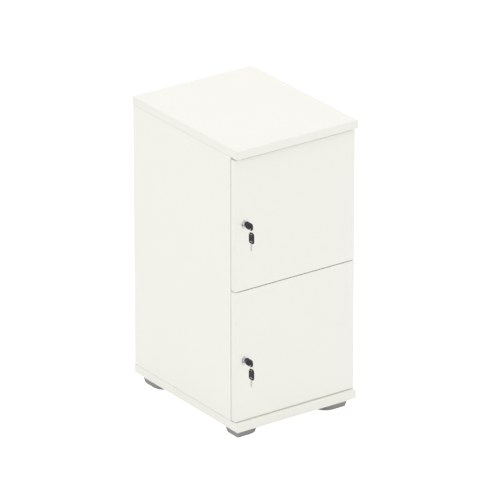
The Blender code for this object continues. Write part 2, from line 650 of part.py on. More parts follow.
def build_cam(door):
    """Make a cam that points up, and the screw that holds it on its plug."""
    y, z = cam_plane_y(), LOCK_Z[door]
    half = CAM_WIDTH / 2
    turn = math.degrees(math.asin(half / CAM_EYE_RADIUS))
    tip, flat = CAM_REACH - CAM_TIP_CHAMFER, half - CAM_TIP_CHAMFER
    outline = arc((0, 0), CAM_EYE_RADIUS, 90 + turn, 450 - turn, 22)
    outline += [(half, tip), (flat, CAM_REACH), (-flat, CAM_REACH), (-half, tip)]
    cam = plate(door + "_lock_cam", outline, CAM_THICKNESS, lock_frame(door, DOOR_FRONT_Y - y), ZINC)
    hole = TANG_SIZE / 2 + TOUCH
    boolean(cam, box(door + "_cam_hole", (LOCK_X - hole, y - CAM_REACH, z - hole),
                     (LOCK_X + hole, y + CAM_REACH, z + hole)))
    screw_y = DOOR_FRONT_Y + BARREL_LENGTH + TANG_LENGTH + 2 * TOUCH
    head, crown, rim, height = CAM_SCREW_HEAD
    shank, length = CAM_SCREW_SHANK
    screw = turned(door + "_cam_screw", [
        (0, height), (crown, height), (head, rim), (head, 0), (shank, 0), (shank, -length), (0, -length)],
        24, STEEL)
    screw.matrix_world = frame((LOCK_X, screw_y, z), (1, 0, 0), (0, 0, -1))
    return cam, screw


def key_head_outline():
    """Return a key head's outline: X along the key towards its outer end, Y across it."""
    wide, neck = KEY_HEAD_WIDTH / 2, KEY_NECK_HALF_WIDTH
    corner_x, corner_y = KEY_HEAD_LENGTH - KEY_CORNER, wide - KEY_CORNER
    points = [(0, neck), (0, -neck), (KEY_SHOULDER, -wide)]
    points += arc((corner_x, -corner_y), KEY_CORNER, 270, 360, 6)
    points += arc((corner_x, corner_y), KEY_CORNER, 0, 90, 6)
    points.append((KEY_SHOULDER, wide))
    return points


def blade_outline():
    """Return a blade's outline, from its tip at the left to its end inside the head."""
    half, tip = BLADE_HEIGHT / 2, -BLADE_FREE
    points = [(tip, 0), (tip + BLADE_POINT, -half)]
    for index in range(NOTCHES):
        depth = NOTCH_DEPTH * (1 - 0.4 * (index % 2))
        near = tip + NOTCH_FROM_TIP + index * NOTCH_PITCH
        far = near + NOTCH_FLAT
        points += [(near - depth, -half), (near, depth - half), (far, depth - half), (far + depth, -half)]
    points += [(BOW_START, -half), (BOW_START, -BOW_HALF_WIDTH), (BLADE_IN_HEAD, -BOW_HALF_WIDTH),
               (BLADE_IN_HEAD, BOW_HALF_WIDTH), (BOW_START, BOW_HALF_WIDTH), (BOW_START, half),
               (tip + BLADE_POINT, half)]
    return points


def pocket_outline():
    """Return the outline of the pocket that holds a blade's bow in its head."""
    neck, wide = BLADE_HEIGHT / 2 + TOUCH, BOW_HALF_WIDTH + TOUCH
    start, middle, end = -BLADE_IN_HEAD, BOW_START - TOUCH, BLADE_IN_HEAD + TOUCH
    return [(start, -neck), (middle, -neck), (middle, -wide), (end, -wide),
            (end, wide), (middle, wide), (middle, neck), (start, neck)]


def cross_slot(size, x):
    """Return the outline of a slot across a key, with its long side along Y."""
    long_side, short_side = size
    return rounded_outline(short_side, long_side, [short_side * 0.45] * 4, 5, (x, 0))


def build_key(head_name, blade_name, place):
    """Make a key. Its frame has X along the key to its outer end, Z through its thickness."""
    head = plate(head_name, key_head_outline(), KEY_HEAD_THICKNESS, place, BLACK_PLASTIC)
    slot = cross_slot(KEY_SLOT_SIZE, KEY_HEAD_LENGTH - KEY_SLOT_FROM_END)
    boolean(head, plate(head_name + "_slot", slot, 5 * KEY_HEAD_THICKNESS, place))
    window = cross_slot(KEY_WINDOW_SIZE, KEY_WINDOW_FROM_NECK)
    boolean(head, plate(head_name + "_window", window, 5 * KEY_HEAD_THICKNESS, place))
    boolean(head, plate(head_name + "_pocket", pocket_outline(), BLADE_THICKNESS + 2 * TOUCH, place))
    grip = rounded_outline(*KEY_GRIP_SIZE, [KEY_GRIP_CORNER] * 4, 5, (KEY_GRIP_FROM_NECK, 0))
    for side in (-1, 1):
        shift = Matrix.Translation((0, 0, side * KEY_HEAD_THICKNESS / 2))
        boolean(head, plate(f"{head_name}_grip_{side}", grip, 2 * KEY_RECESS, place @ shift))
    blade = plate(blade_name, blade_outline(), BLADE_THICKNESS, place, STEEL)
    return head, blade


def build_keys(door):
    """Make the key in a lock, its ring, and the spare key that hangs from the ring."""
    out = DOOR_FRONT_Y - KEY_HEAD_OUT
    z = LOCK_Z[door]
    place = frame((LOCK_X, out, z), (0, -1, 0), (0, 0, 1))
    key = build_key(door + "_key_head", door + "_key_blade", place)
    ring_y = DOOR_FRONT_Y - KEY_AXIS_OUT
    ring_top = z - KEY_SLOT_SIZE[0] / 2 + RING_CLEAR
    bpy.ops.mesh.primitive_torus_add(major_radius=RING_RADIUS, minor_radius=RING_WIRE, major_segments=32,
                                     minor_segments=8, location=(LOCK_X, ring_y, ring_top - RING_RADIUS),
                                     rotation=(math.pi / 2, 0, 0))
    ring = finish_object(bpy.context.object, door + "_key_ring", STEEL)
    ring_low = ring_top - 2 * RING_RADIUS
    bridge = KEY_SLOT_FROM_END - KEY_SLOT_SIZE[1] / 2
    head_top = ring_low + RING_CLEAR + bridge
    place = frame((LOCK_X, ring_y, head_top - KEY_HEAD_LENGTH), (0, 0, 1), (0, 1, 0))
    spare = build_key(door + "_spare_key_head", door + "_spare_key_blade", place)
    bridge_middle = z - (KEY_SLOT_SIZE[0] + KEY_HEAD_WIDTH) / 4
    ring_pivot = pivot(door + "_ring_pivot", (LOCK_X, ring_y, bridge_middle))
    spare_pivot = pivot(door + "_spare_key_pivot", (LOCK_X, ring_y, ring_low))
    hang_on(spare_pivot, *spare)
    hang_on(ring_pivot, ring, spare_pivot)
    return list(key) + [ring_pivot]


def main():
    """Build the whole locker."""
    clear_scene()
    build_carcass()
    for row, side_y in (("front", -1), ("rear", 1)):
        for column, side_x in (("left", -1), ("right", 1)):
            build_foot(f"foot_{row}_{column}", side_x, side_y)
    for door in DOOR_SPANS:
        build_strike(door)
        panel = build_door(door)
        bumpers = build_bumpers(door, panel)
        cups, outer_links, inner_links = build_hinges(door, panel)
        fixed, turning = build_lock(door)
        plug_pivot = pivot(door + "_plug_pivot", (LOCK_X, DOOR_FRONT_Y, LOCK_Z[door]))
        key_slide = pivot(door + "_key_slide", (LOCK_X, DOOR_FRONT_Y, LOCK_Z[door]))
        hang_on(key_slide, *build_keys(door))
        hang_on(plug_pivot, key_slide, *turning)
        middle_z = sum(DOOR_SPANS[door]) / 2
        door_pivot = pivot(door + "_door_pivot", hinge_point(OUTER_CUP_PIN, middle_z))
        outer_pivot = pivot(door + "_outer_links_pivot", hinge_point(OUTER_ARM_PIN, middle_z))
        inner_pivot = pivot(door + "_inner_links_pivot", hinge_point(INNER_ARM_PIN, middle_z))
        hang_on(door_pivot, panel, plug_pivot, *bumpers, *cups, *fixed)
        hang_on(outer_pivot, door_pivot, *outer_links)
        hang_on(inner_pivot, *inner_links)


main()
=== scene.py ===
"""Looks of a two-compartment wooden locker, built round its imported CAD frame.

White melamine boards with glued-on edge bands, two doors on cup hinges, a chromed cam lock with
its keys in each door, and four grey plastic feet. Lengths are metres in the frame's axes: -Y is
the front, +X the right and +Z up.
"""
import json
import logging
import math
from dataclasses import dataclass, field
from enum import Enum

import bmesh
import bpy
import numpy as np
from mathutils import Matrix, Vector

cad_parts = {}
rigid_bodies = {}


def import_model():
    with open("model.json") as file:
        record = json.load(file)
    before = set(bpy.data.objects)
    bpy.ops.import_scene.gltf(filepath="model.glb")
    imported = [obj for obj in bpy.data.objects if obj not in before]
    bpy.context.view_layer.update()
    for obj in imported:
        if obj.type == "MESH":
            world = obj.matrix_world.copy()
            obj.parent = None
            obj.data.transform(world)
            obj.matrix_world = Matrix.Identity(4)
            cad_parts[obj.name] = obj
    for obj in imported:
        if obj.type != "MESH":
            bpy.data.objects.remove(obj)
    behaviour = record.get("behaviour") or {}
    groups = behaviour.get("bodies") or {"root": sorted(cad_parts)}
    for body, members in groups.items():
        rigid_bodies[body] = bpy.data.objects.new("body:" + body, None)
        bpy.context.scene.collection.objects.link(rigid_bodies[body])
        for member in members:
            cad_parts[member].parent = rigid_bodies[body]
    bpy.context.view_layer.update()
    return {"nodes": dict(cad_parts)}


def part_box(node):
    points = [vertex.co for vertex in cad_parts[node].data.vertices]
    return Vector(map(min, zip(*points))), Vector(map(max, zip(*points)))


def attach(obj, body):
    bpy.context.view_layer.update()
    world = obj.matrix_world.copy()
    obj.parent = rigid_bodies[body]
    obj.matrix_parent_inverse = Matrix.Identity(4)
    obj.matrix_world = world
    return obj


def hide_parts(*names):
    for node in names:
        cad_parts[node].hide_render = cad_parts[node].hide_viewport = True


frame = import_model()

Array = np.ndarray
MM = 0.001
TURN = 2.0 * math.pi
DOORS = ("upper", "lower")
ENDS = ("top", "bottom")
FLOAT, VECTOR = "NodeSocketFloat", "NodeSocketVector"
log = logging.getLogger("locker")

# The name of a board's band values, and their value on the glue line
BAND_ATTRIBUTE = "band"
ON_SEAM = 0.5

# Angles in degrees: past SHARP an edge is shaded sharp and past BROKEN it is broken, and faces
# that meet under FLAT become one
SHARP = 32.0
BROKEN = 35.0
FLAT = 1.0

# Points closer than SAME_POINT are one, a face more SQUARE_ON to an axis is an end across it, and
# nothing is divided by less than TINY
SAME_POINT = 0.002 * MM
SQUARE_ON = 0.95
TINY = 1e-6


class Axis(Enum):
    """A world axis, by its place in a coordinate."""

    X = 0
    Y = 1
    Z = 2


class Facing(Enum):
    """The way that a small part stands, as the directions of its first and second axes."""

    FRONT = ((1, 0, 0), (0, 0, 1))
    BACK = ((1, 0, 0), (0, 0, -1))
    RIGHT = ((0, 1, 0), (0, 0, 1))
    LEFT = ((0, -1, 0), (0, 0, 1))
    DOWN = ((1, 0, 0), (0, -1, 0))

    def at(self, point: Vector) -> Matrix:
        """Return the matrix that stands a part this way on a point."""
        return place_on(point, *self.value)


@dataclass
class Shape:
    """Points and faces of a surface that is still being put together.

    Attributes:
        points: Coordinates, one row a point.
        faces: Point numbers of each face, in order round it.
        band: One value a point, 1 on an edge band, 0 on a board's laminate, 0.5 on their seam.
    """

    points: Array
    faces: list
    band: Array | None = None

    def moved(self, place: Matrix) -> "Shape":
        """Return the shape put in its place by a matrix."""
        turn = np.array(place.to_3x3())
        return Shape(self.points @ turn.T + np.array(place.translation), self.faces, self.band)

    def volume(self) -> float:
        """Return the signed volume: each face's fan of triangles, each with the origin.

        Returns:
            The volume, which is negative where the faces point inwards.
        """
        total = 0.0
        for face in self.faces:
            corners = self.points[list(face)]
            first, middle, last = corners[0], corners[1:-1], corners[2:]
            total += float((np.cross(middle, last) @ first).sum())
        return total / 6.0

    def outward(self) -> "Shape":
        """Return the shape with its faces pointing out of the solid.

        Returns:
            The shape itself, or one whose faces are turned round.
        """
        if self.volume() >= 0.0:
            return self
        return Shape(self.points, [list(face)[::-1] for face in self.faces], self.band)


def merged(shapes: list[Shape]) -> Shape:
    """Return several shapes as one, their point numbers following on.

    Args:
        shapes: The shapes, which have no band values.

    Returns:
        One shape that holds them all.
    """
    offset, faces = 0, []
    for shape in shapes:
        faces += [[index + offset for index in face] for face in shape.faces]
        offset += len(shape.points)
    return Shape(np.concatenate([shape.points for shape in shapes]), faces)


def loft(rings: Array, around: bool = False, band: Array | None = None) -> Shape:
    """Return the closed surface through rings that have the same number of points.

    Neighbouring points of neighbouring rings make a quad. The end rings are closed by one face
    each, or, on a shape that comes round to its start, the last ring meets the first.

    Args:
        rings: Coordinates as (ring, point, xyz).
        around: Whether the last ring is joined to the first.
        band: The band value of each point as (ring, point), if the piece is a board.

    Returns:
        The surface, with its faces pointing outwards.
    """
    count, size = rings.shape[:2]
    step = np.arange(count if around else count - 1)[:, None]
    here = step * size + np.arange(size)
    there = (step + 1) % count * size + np.arange(size)
    quads = np.stack((here, np.roll(here, -1, 1), np.roll(there, -1, 1), there), -1)
    faces = quads.reshape(-1, 4).tolist()
    if not around:
        faces.append(list(range(size))[::-1])
        faces.append(list(range((count - 1) * size, count * size)))
    values = None if band is None else band.ravel()
    return Shape(rings.reshape(-1, 3), faces, values).outward()


def filleted(corners: Array, radii: Array, steps: int = 6) -> Array:
    """Return a polygon's outline with each corner rounded.

    A corner's arc is centred on the bisector of its two sides, radius / sin(half angle) from the
    corner, and runs from one tangent point to the other, each radius / tan(half angle) away.

    Args:
        corners: Corner points as (corner, xy), counter-clockwise.
        radii: Radius at each corner.
        steps: Points on each arc.

    Returns:
        Outline points as (point, xy).
    """
    to_last = np.roll(corners, 1, 0) - corners
    to_next = np.roll(corners, -1, 0) - corners
    to_last /= np.linalg.norm(to_last, axis=1)[:, None]
    to_next /= np.linalg.norm(to_next, axis=1)[:, None]
    half = 0.5 * np.arccos(np.clip((to_last * to_next).sum(1), -1.0, 1.0))
    bisector = to_last + to_next
    bisector /= np.linalg.norm(bisector, axis=1)[:, None]
    centres = corners + bisector * (radii / np.sin(half))[:, None]
    reach = (radii / np.tan(half))[:, None]
    first = corners + to_last * reach - centres
    final = corners + to_next * reach - centres
    start = np.arctan2(first[:, 1], first[:, 0])
    sweep = np.arctan2(final[:, 1], final[:, 0]) - start
    sweep = (sweep + math.pi) % TURN - math.pi
    angles = start[:, None] + sweep[:, None] * np.linspace(0.0, 1.0, steps)
    arcs = np.stack((np.cos(angles), np.sin(angles)), -1) * radii[:, None, None]
    return (centres[:, None] + arcs).reshape(-1, 2)


def rounded_rectangle(width: float, height: float, radius: float, steps: int = 6) -> Array:
    """Return a rectangle's outline with four equal rounded corners, centred on the origin."""
    signs = np.array([(-1, -1), (1, -1), (1, 1), (-1, 1)])
    return filleted(signs * np.array((width, height)) / 2, np.full(4, radius), steps)


def circle(radius: float, steps: int) -> Array:
    """Return the outline of a circle about the origin."""
    angles = np.linspace(0.0, TURN, steps, endpoint=False)
    return radius * np.stack((np.cos(angles), np.sin(angles)), -1)


def inset(outline: Array, distance: float) -> Array:
    """Return a counter-clockwise outline moved inwards by a distance.

    Each point goes along the sum of its two sides' inward normals, far enough that both sides
    move by the distance.

    Args:
        outline: Outline points as (point, xy).
        distance: How far it moves; less than 0 moves it outwards.

    Returns:
        As many points, moved.
    """
    ahead = np.roll(outline, -1, 0) - outline
    ahead /= np.linalg.norm(ahead, axis=1)[:, None]
    left = np.stack((-ahead[:, 1], ahead[:, 0]), -1)
    total = left + np.roll(left, 1, 0)
    return outline + distance * total / (total * left).sum(1)[:, None]


def at_height(outline: Array, height: float) -> Array:
    """Return an outline's points with a height as their third coordinate."""
    return np.column_stack((outline, np.full(len(outline), height)))


def slab(outline: Array, profile: Array) -> Shape:
    """Return an outline carried up its third axis through (inset, height) steps."""
    return loft(np.array([at_height(inset(outline, distance), height) for distance, height in profile]))


def rounded_edge(thickness: float, radius: float, steps: int = 4, support: float = 0.0) -> Array:
    """Return the (inset, height) steps of a plate's edge, its two rims rounded.

    A rim follows a quarter circle: inset is radius times (1 - sin), height radius times
    (1 - cos) of an angle from 0 to 90 degrees.

    Args:
        thickness: Thickness of the plate, whose middle is at height 0.
        radius: Radius of the rims.
        steps: Steps along a rim.
        support: Distance from a rim of one more step on the edge's flat, or 0 for none.

    Returns:
        The steps, from the lower face to the upper one.
    """
    angles = np.linspace(0.0, math.pi / 2, steps + 1)
    low = np.stack((radius * (1 - np.sin(angles)), radius * (1 - np.cos(angles))), -1)
    if support:
        low = np.concatenate((low, [(0.0, radius + support)]))
    high = low[::-1] * (1, -1) + (0, thickness)
    return np.concatenate((low, high)) - (0, thickness / 2)


def turned(profile: Array, steps: int = 72, around: bool = False) -> Shape:
    """Return a profile turned round the third axis.

    Args:
        profile: Its (radius, height) points.
        steps: Points round the axis.
        around: Whether the profile comes round to its start, as on a ring or a tube.

    Returns:
        The turned surface.
    """
    ring = at_height(circle(1.0, steps), 1.0)
    rings = ring[None] * np.column_stack((profile[:, 0], profile[:, 0], profile[:, 1]))[:, None]
    return loft(rings, around)


def arc_profile(centre: tuple, radius: float, start: float, end: float, steps: int = 6) -> Array:
    """Return (radius, height) points on an arc of a turned profile, angles in degrees."""
    angles = np.radians(np.linspace(start, end, steps))
    return np.array(centre) + radius * np.stack((np.cos(angles), np.sin(angles)), -1)


def place_on(origin: Vector, x_axis: tuple, y_axis: tuple) -> Matrix:
    """Return a placing matrix.

    Args:
        origin: Where the part's own origin goes.
        x_axis: The unit direction of its first axis.
        y_axis: The unit direction of its second axis, at right angles to the first.

    Returns:
        The matrix, whose third axis is square to both.
    """
    x_way, y_way = Vector(x_axis), Vector(y_axis)
    turn = Matrix((x_way, y_way, x_way.cross(y_way))).transposed().to_4x4()
    return Matrix.Translation(origin) @ turn


def smooth(mesh: bpy.types.Mesh, sharp: float) -> None:
    """Shade a mesh smooth, apart from its edges sharper than an angle in degrees."""
    mesh.shade_smooth()
    mesh.set_sharp_from_angle(angle=math.radians(sharp))


def in_scene(name: str, data: bpy.types.ID) -> bpy.types.Object:
    """Return a new object that stands in the scene.

    Args:
        name: Its name.
        data: Its mesh, light or camera.

    Returns:
        The object, at the origin.
    """
    item = bpy.data.objects.new(name, data)
    bpy.context.scene.collection.objects.link(item)
    return item


def to_object(name: str, shape: Shape, material: bpy.types.Material | None,
              sharp: float = SHARP) -> bpy.types.Object:
    """Return a mesh object made of a shape.

    Args:
        name: Its name.
        shape: The shape, already in its place.
        material: Its material, or None.
        sharp: Angle in degrees past which an edge stays sharp.

    Returns:
        The object, at the origin and in the scene.
    """
    mesh = bpy.data.meshes.new(name)
    mesh.from_pydata(shape.points.tolist(), [], [list(face) for face in shape.faces])
    if shape.band is not None:
        values = mesh.attributes.new(BAND_ATTRIBUTE, "FLOAT", "POINT")
        values.data.foreach_set("value", shape.band.astype(np.float32))
    if material:
        mesh.materials.append(material)
    smooth(mesh, sharp)
    return in_scene(name, mesh)


def carve(item: bpy.types.Object, cutters: list[Shape], material: bpy.types.Material | None = None,
          sharp: float = SHARP) -> bpy.types.Object:
    """Cut solids out of a piece and keep the result as its mesh.

    Args:
        item: The piece.
        cutters: Closed shapes, taken out in one pass.
        material: What the cut surfaces show, or None for the piece's own.
        sharp: Angle in degrees past which an edge stays sharp.

    Returns:
        The piece.
    """
    tool = to_object(item.name + "_cutter", merged(cutters), material)
    step = item.modifiers.new("carve", "BOOLEAN")
    step.operation = "DIFFERENCE"
    step.solver = "EXACT"
    step.material_mode = "TRANSFER" if material else "INDEX"
    step.object = tool
    apply_modifiers(item)
    bpy.data.objects.remove(tool, do_unlink=True)
    smooth(item.data, sharp)
    return item


def apply_modifiers(item: bpy.types.Object) -> None:
    """Replace a piece's mesh by what its modifiers make of it.

    Args:
        item: The piece.
    """
    bpy.context.view_layer.update()
    graph = bpy.context.evaluated_depsgraph_get()
    mesh = bpy.data.meshes.new_from_object(item.evaluated_get(graph), depsgraph=graph)
    item.modifiers.clear()
    item.data = mesh
    mesh.name = item.name


def cylinder(radius: float, length: float, steps: int = 64) -> Shape:
    """Return a plain cylinder about the origin."""
    return slab(circle(radius, steps), np.array([(0.0, -length / 2), (0.0, length / 2)]))


def block(low: Vector, high: Vector) -> Shape:
    """Return a plain box between two corners.

    Args:
        low: The corner with the least coordinates.
        high: The corner with the greatest.

    Returns:
        The box.
    """
    corners = np.array([(0, 0), (1, 0), (1, 1), (0, 1)])
    unit = np.array([at_height(corners, level) for level in (0, 1)])
    return loft(np.array(low) + unit * np.array(high - low))


def centre_of(node: str) -> Vector:
    """Return the middle of a CAD node's box."""
    low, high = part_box(node)
    return (low + high) / 2


def finished(item: bpy.types.Object, body: str, slot: str, *nodes: str) -> bpy.types.Object:
    """Hand a piece over to the frame.

    Args:
        item: The piece.
        body: The body that it rides on.
        slot: The record's finish that it would take; not used.
        nodes: The CAD nodes that it stands for.

    Returns:
        The piece.
    """
    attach(item, body)
    if nodes:
        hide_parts(*nodes)
    log.info("%s rides on %s, %d faces", item.name, body, len(item.data.polygons))
    return item


def piece(name: str, shape: Shape, material: bpy.types.Material, body: str, slot: str, *nodes: str,
          sharp: float = SHARP) -> bpy.types.Object:
    """Return a shape as a piece that needs no more work, handed over to the frame."""
    return finished(to_object(name, shape, material, sharp), body, slot, *nodes)


class Graph:
    """A thin writer of shader nodes."""

    def __init__(self, tree: bpy.types.NodeTree) -> None:
        """Keep the tree that nodes are added to."""
        self.tree = tree

    def fill(self, socket: bpy.types.NodeSocket, value: object) -> None:
        """Link an input to another socket, or set it to a constant.

        Args:
            socket: The input.
            value: The other socket or the constant.
        """
        if isinstance(value, bpy.types.NodeSocket):
            self.tree.links.new(value, socket)
        else:
            socket.default_value = value

    def fill_inputs(self, node: bpy.types.Node, values: dict) -> None:
        """Fill a node's inputs, each given by its name or number."""
        for key, value in values.items():
            self.fill(node.inputs[key], value)

    def add(self, kind: str, values: dict | None = None, **settings: object) -> bpy.types.Node:
        """Add a node, set its properties and fill or link its inputs.

        Args:
            kind: The node's type name.
            values: Input names or numbers, each with a constant or a socket to link.
            settings: The node's own properties.

        Returns:
            The node.
        """
        node = self.tree.nodes.new(kind)
        for name, value in settings.items():
            setattr(node, name, value)
        self.fill_inputs(node, values or {})
        return node

    def math(self, operation: str, first: object, second: object = 0.0, third: object = 0.0) -> object:
        """Return the output of a Math node."""
        node = self.add("ShaderNodeMath", {0: first, 1: second, 2: third}, operation=operation)
        return node.outputs[0]

    def noise(self, vector: object, scale: float, detail: float = 2.0, roughness: float = 0.5) -> object:
        """Return the value of a Noise Texture read at a vector."""
        values = {"Vector": vector, "Scale": scale, "Detail": detail, "Roughness": roughness}
        return self.add("ShaderNodeTexNoise", values).outputs["Fac"]

    def span(self, value: object, low: float, high: float, to_low: float, to_high: float) -> object:
        """Return a value carried from one range to another, held at its ends."""
        values = {"Value": value, "From Min": low, "From Max": high, "To Min": to_low, "To Max": to_high}
        return self.add("ShaderNodeMapRange", values, clamp=True).outputs["Result"]

    def blend(self, amount: object, first: object, second: object, how: str = "MIX") -> object:
        """Return the mix of two colours.

        Args:
            amount: How much of the second one is mixed in.
            first: The first colour or its socket.
            second: The second colour or its socket.
            how: The way of mixing them.

        Returns:
            The socket of the mixed colour.
        """
        values = {"Factor": amount, "A": first, "B": second}
        node = self.add("ShaderNodeMix", data_type="RGBA", blend_type=how)
        for socket in node.inputs:
            if socket.enabled and socket.name in values:
                self.fill(socket, values[socket.name])
        return next(socket for socket in node.outputs if socket.enabled)

    def grey(self, level: object) -> object:
        """Return a level as a grey colour."""
        return self.add("ShaderNodeCombineColor", {0: level, 1: level, 2: level}).outputs[0]

    def shaded(self, colour: object, level: object) -> object:
        """Return a colour multiplied by a level."""
        return self.blend(1.0, colour, self.grey(level), "MULTIPLY")

    def place(self) -> object:
        """Return the Object coordinates."""
        return self.add("ShaderNodeTexCoord").outputs["Object"]


def opaque(level: float) -> tuple:
    """Return a grey of a level as an opaque colour."""
    return (level, level, level, 1.0)


def new_group(name: str, inputs: dict, outputs: dict) -> tuple[bpy.types.NodeTree, Graph, object, object]:
    """Return an empty shader node group.

    Args:
        name: The group's name.
        inputs: Each input's name with its socket type and default value.
        outputs: Each output's name with its socket type.

    Returns:
        The group, its writer, the sockets that bring in its inputs and those for its outputs.
    """
    tree = bpy.data.node_groups.new(name, "ShaderNodeTree")
    for label, (kind, default) in inputs.items():
        socket = tree.interface.new_socket(label, in_out="INPUT", socket_type=kind)
        if default is not None:
            socket.default_value = default
    for label, kind in outputs.items():
        tree.interface.new_socket(label, in_out="OUTPUT", socket_type=kind)
    graph = Graph(tree)
    return tree, graph, graph.add("NodeGroupInput").outputs, graph.add("NodeGroupOutput").inputs


def grain_group() -> bpy.types.NodeTree:
    """Build the moulded or pressed grain that every finish has, each at its own scale.

    The height is a noise at the grain's size with a third of a finer one mixed in, and the tone
    is a slow noise with a little of the grain in it, both about 0.5.

    Returns:
        The group.
    """
    finer, fine_share, grain_in_tone = 2.7, 0.33, 0.3
    tree, graph, source, out = new_group(
        "surface_grain",
        {"Vector": (VECTOR, None), "Grain Scale": (FLOAT, 900.0), "Cloud Scale": (FLOAT, 6.0)},
        {"Height": FLOAT, "Tone": FLOAT})
    place, scale = source["Vector"], source["Grain Scale"]
    coarse = graph.noise(place, scale)
    fine = graph.noise(place, graph.math("MULTIPLY", scale, finer), detail=1.0)
    cloud = graph.noise(place, source["Cloud Scale"], detail=4.0, roughness=0.6)
    height = graph.math("MULTIPLY_ADD", fine, fine_share, graph.math("MULTIPLY", coarse, 1 - fine_share))
    tone = graph.math("MULTIPLY_ADD", coarse, grain_in_tone, graph.math("MULTIPLY", cloud, 1 - grain_in_tone))
    graph.fill(out["Height"], height)
    graph.fill(out["Tone"], tone)
    return tree


def handling_group() -> bpy.types.NodeTree:
    """Build the marks of handling: faint smears, and hair-fine scratches along one direction.

    Each is a noise whose upper part is spread to the range from 0 to 1. The scratches' noise is
    read at stretched coordinates.

    Returns:
        The group.
    """
    smear_scale, smear_range, scratch_range = 35.0, (0.45, 0.75), (0.4, 0.62)
    tree, graph, source, out = new_group(
        "handling_marks",
        {"Vector": (VECTOR, None), "Stretch": (VECTOR, (1.0, 1.0, 1.0)), "Scratch Scale": (FLOAT, 400.0)},
        {"Smear": FLOAT, "Scratch": FLOAT})
    smear = graph.noise(source["Vector"], smear_scale, detail=3.0, roughness=0.6)
    stretched = graph.add("ShaderNodeVectorMath", {0: source["Vector"], 1: source["Stretch"]},
                          operation="MULTIPLY").outputs[0]
    scratch = graph.noise(stretched, source["Scratch Scale"])
    graph.fill(out["Smear"], graph.span(smear, *smear_range, 0.0, 1.0))
    graph.fill(out["Scratch"], graph.span(scratch, *scratch_range, 0.0, 1.0))
    return tree


def band_group() -> bpy.types.NodeTree:
    """Build the masks of a board's edge band and of the hairline seam beside it.

    They are read from the band values in the mesh: the band is where they pass a half, and the
    seam is 1 at a half and falls to 0 on both sides.

    Returns:
        The group.
    """
    softness = 0.05
    tree, graph, source, out = new_group("edge_band", {"Value": (FLOAT, 0.0)}, {"Band": FLOAT, "Seam": FLOAT})
    value = source["Value"]
    away = graph.math("ABSOLUTE", graph.math("SUBTRACT", value, ON_SEAM))
    graph.fill(out["Band"], graph.span(value, ON_SEAM - softness, ON_SEAM + softness, 0.0, 1.0))
    graph.fill(out["Seam"], graph.span(away, 0.0, ON_SEAM, 1.0, 0.0))
    return tree


def dust_group() -> bpy.types.NodeTree:
    """Build dust that has settled on what faces up, in soft patches.

    The amount is the share by which the surface faces up times a noise, both spread out.

    Returns:
        The group.
    """
    patch_scale, patch_range, patch_levels, slope_range = 60.0, (0.35, 0.7), (0.3, 1.0), (0.4, 0.95)
    tree, graph, source, out = new_group("settled_dust", {"Vector": (VECTOR, None)}, {"Amount": FLOAT})
    normal = graph.add("ShaderNodeNewGeometry").outputs["Normal"]
    up = graph.add("ShaderNodeSeparateXYZ", {0: normal}).outputs["Z"]
    patches = graph.noise(source["Vector"], patch_scale, detail=4.0, roughness=0.7)
    amount = graph.math("MULTIPLY", graph.span(up, *slope_range, 0.0, 1.0),
                        graph.span(patches, *patch_range, *patch_levels))
    graph.fill(out["Amount"], amount)
    return tree


class Effects:
    """The shader node groups that several finishes share, each built once."""

    def __init__(self) -> None:
        """Build the groups."""
        self.grain = grain_group()
        self.handling = handling_group()
        self.band = band_group()
        self.dust = dust_group()


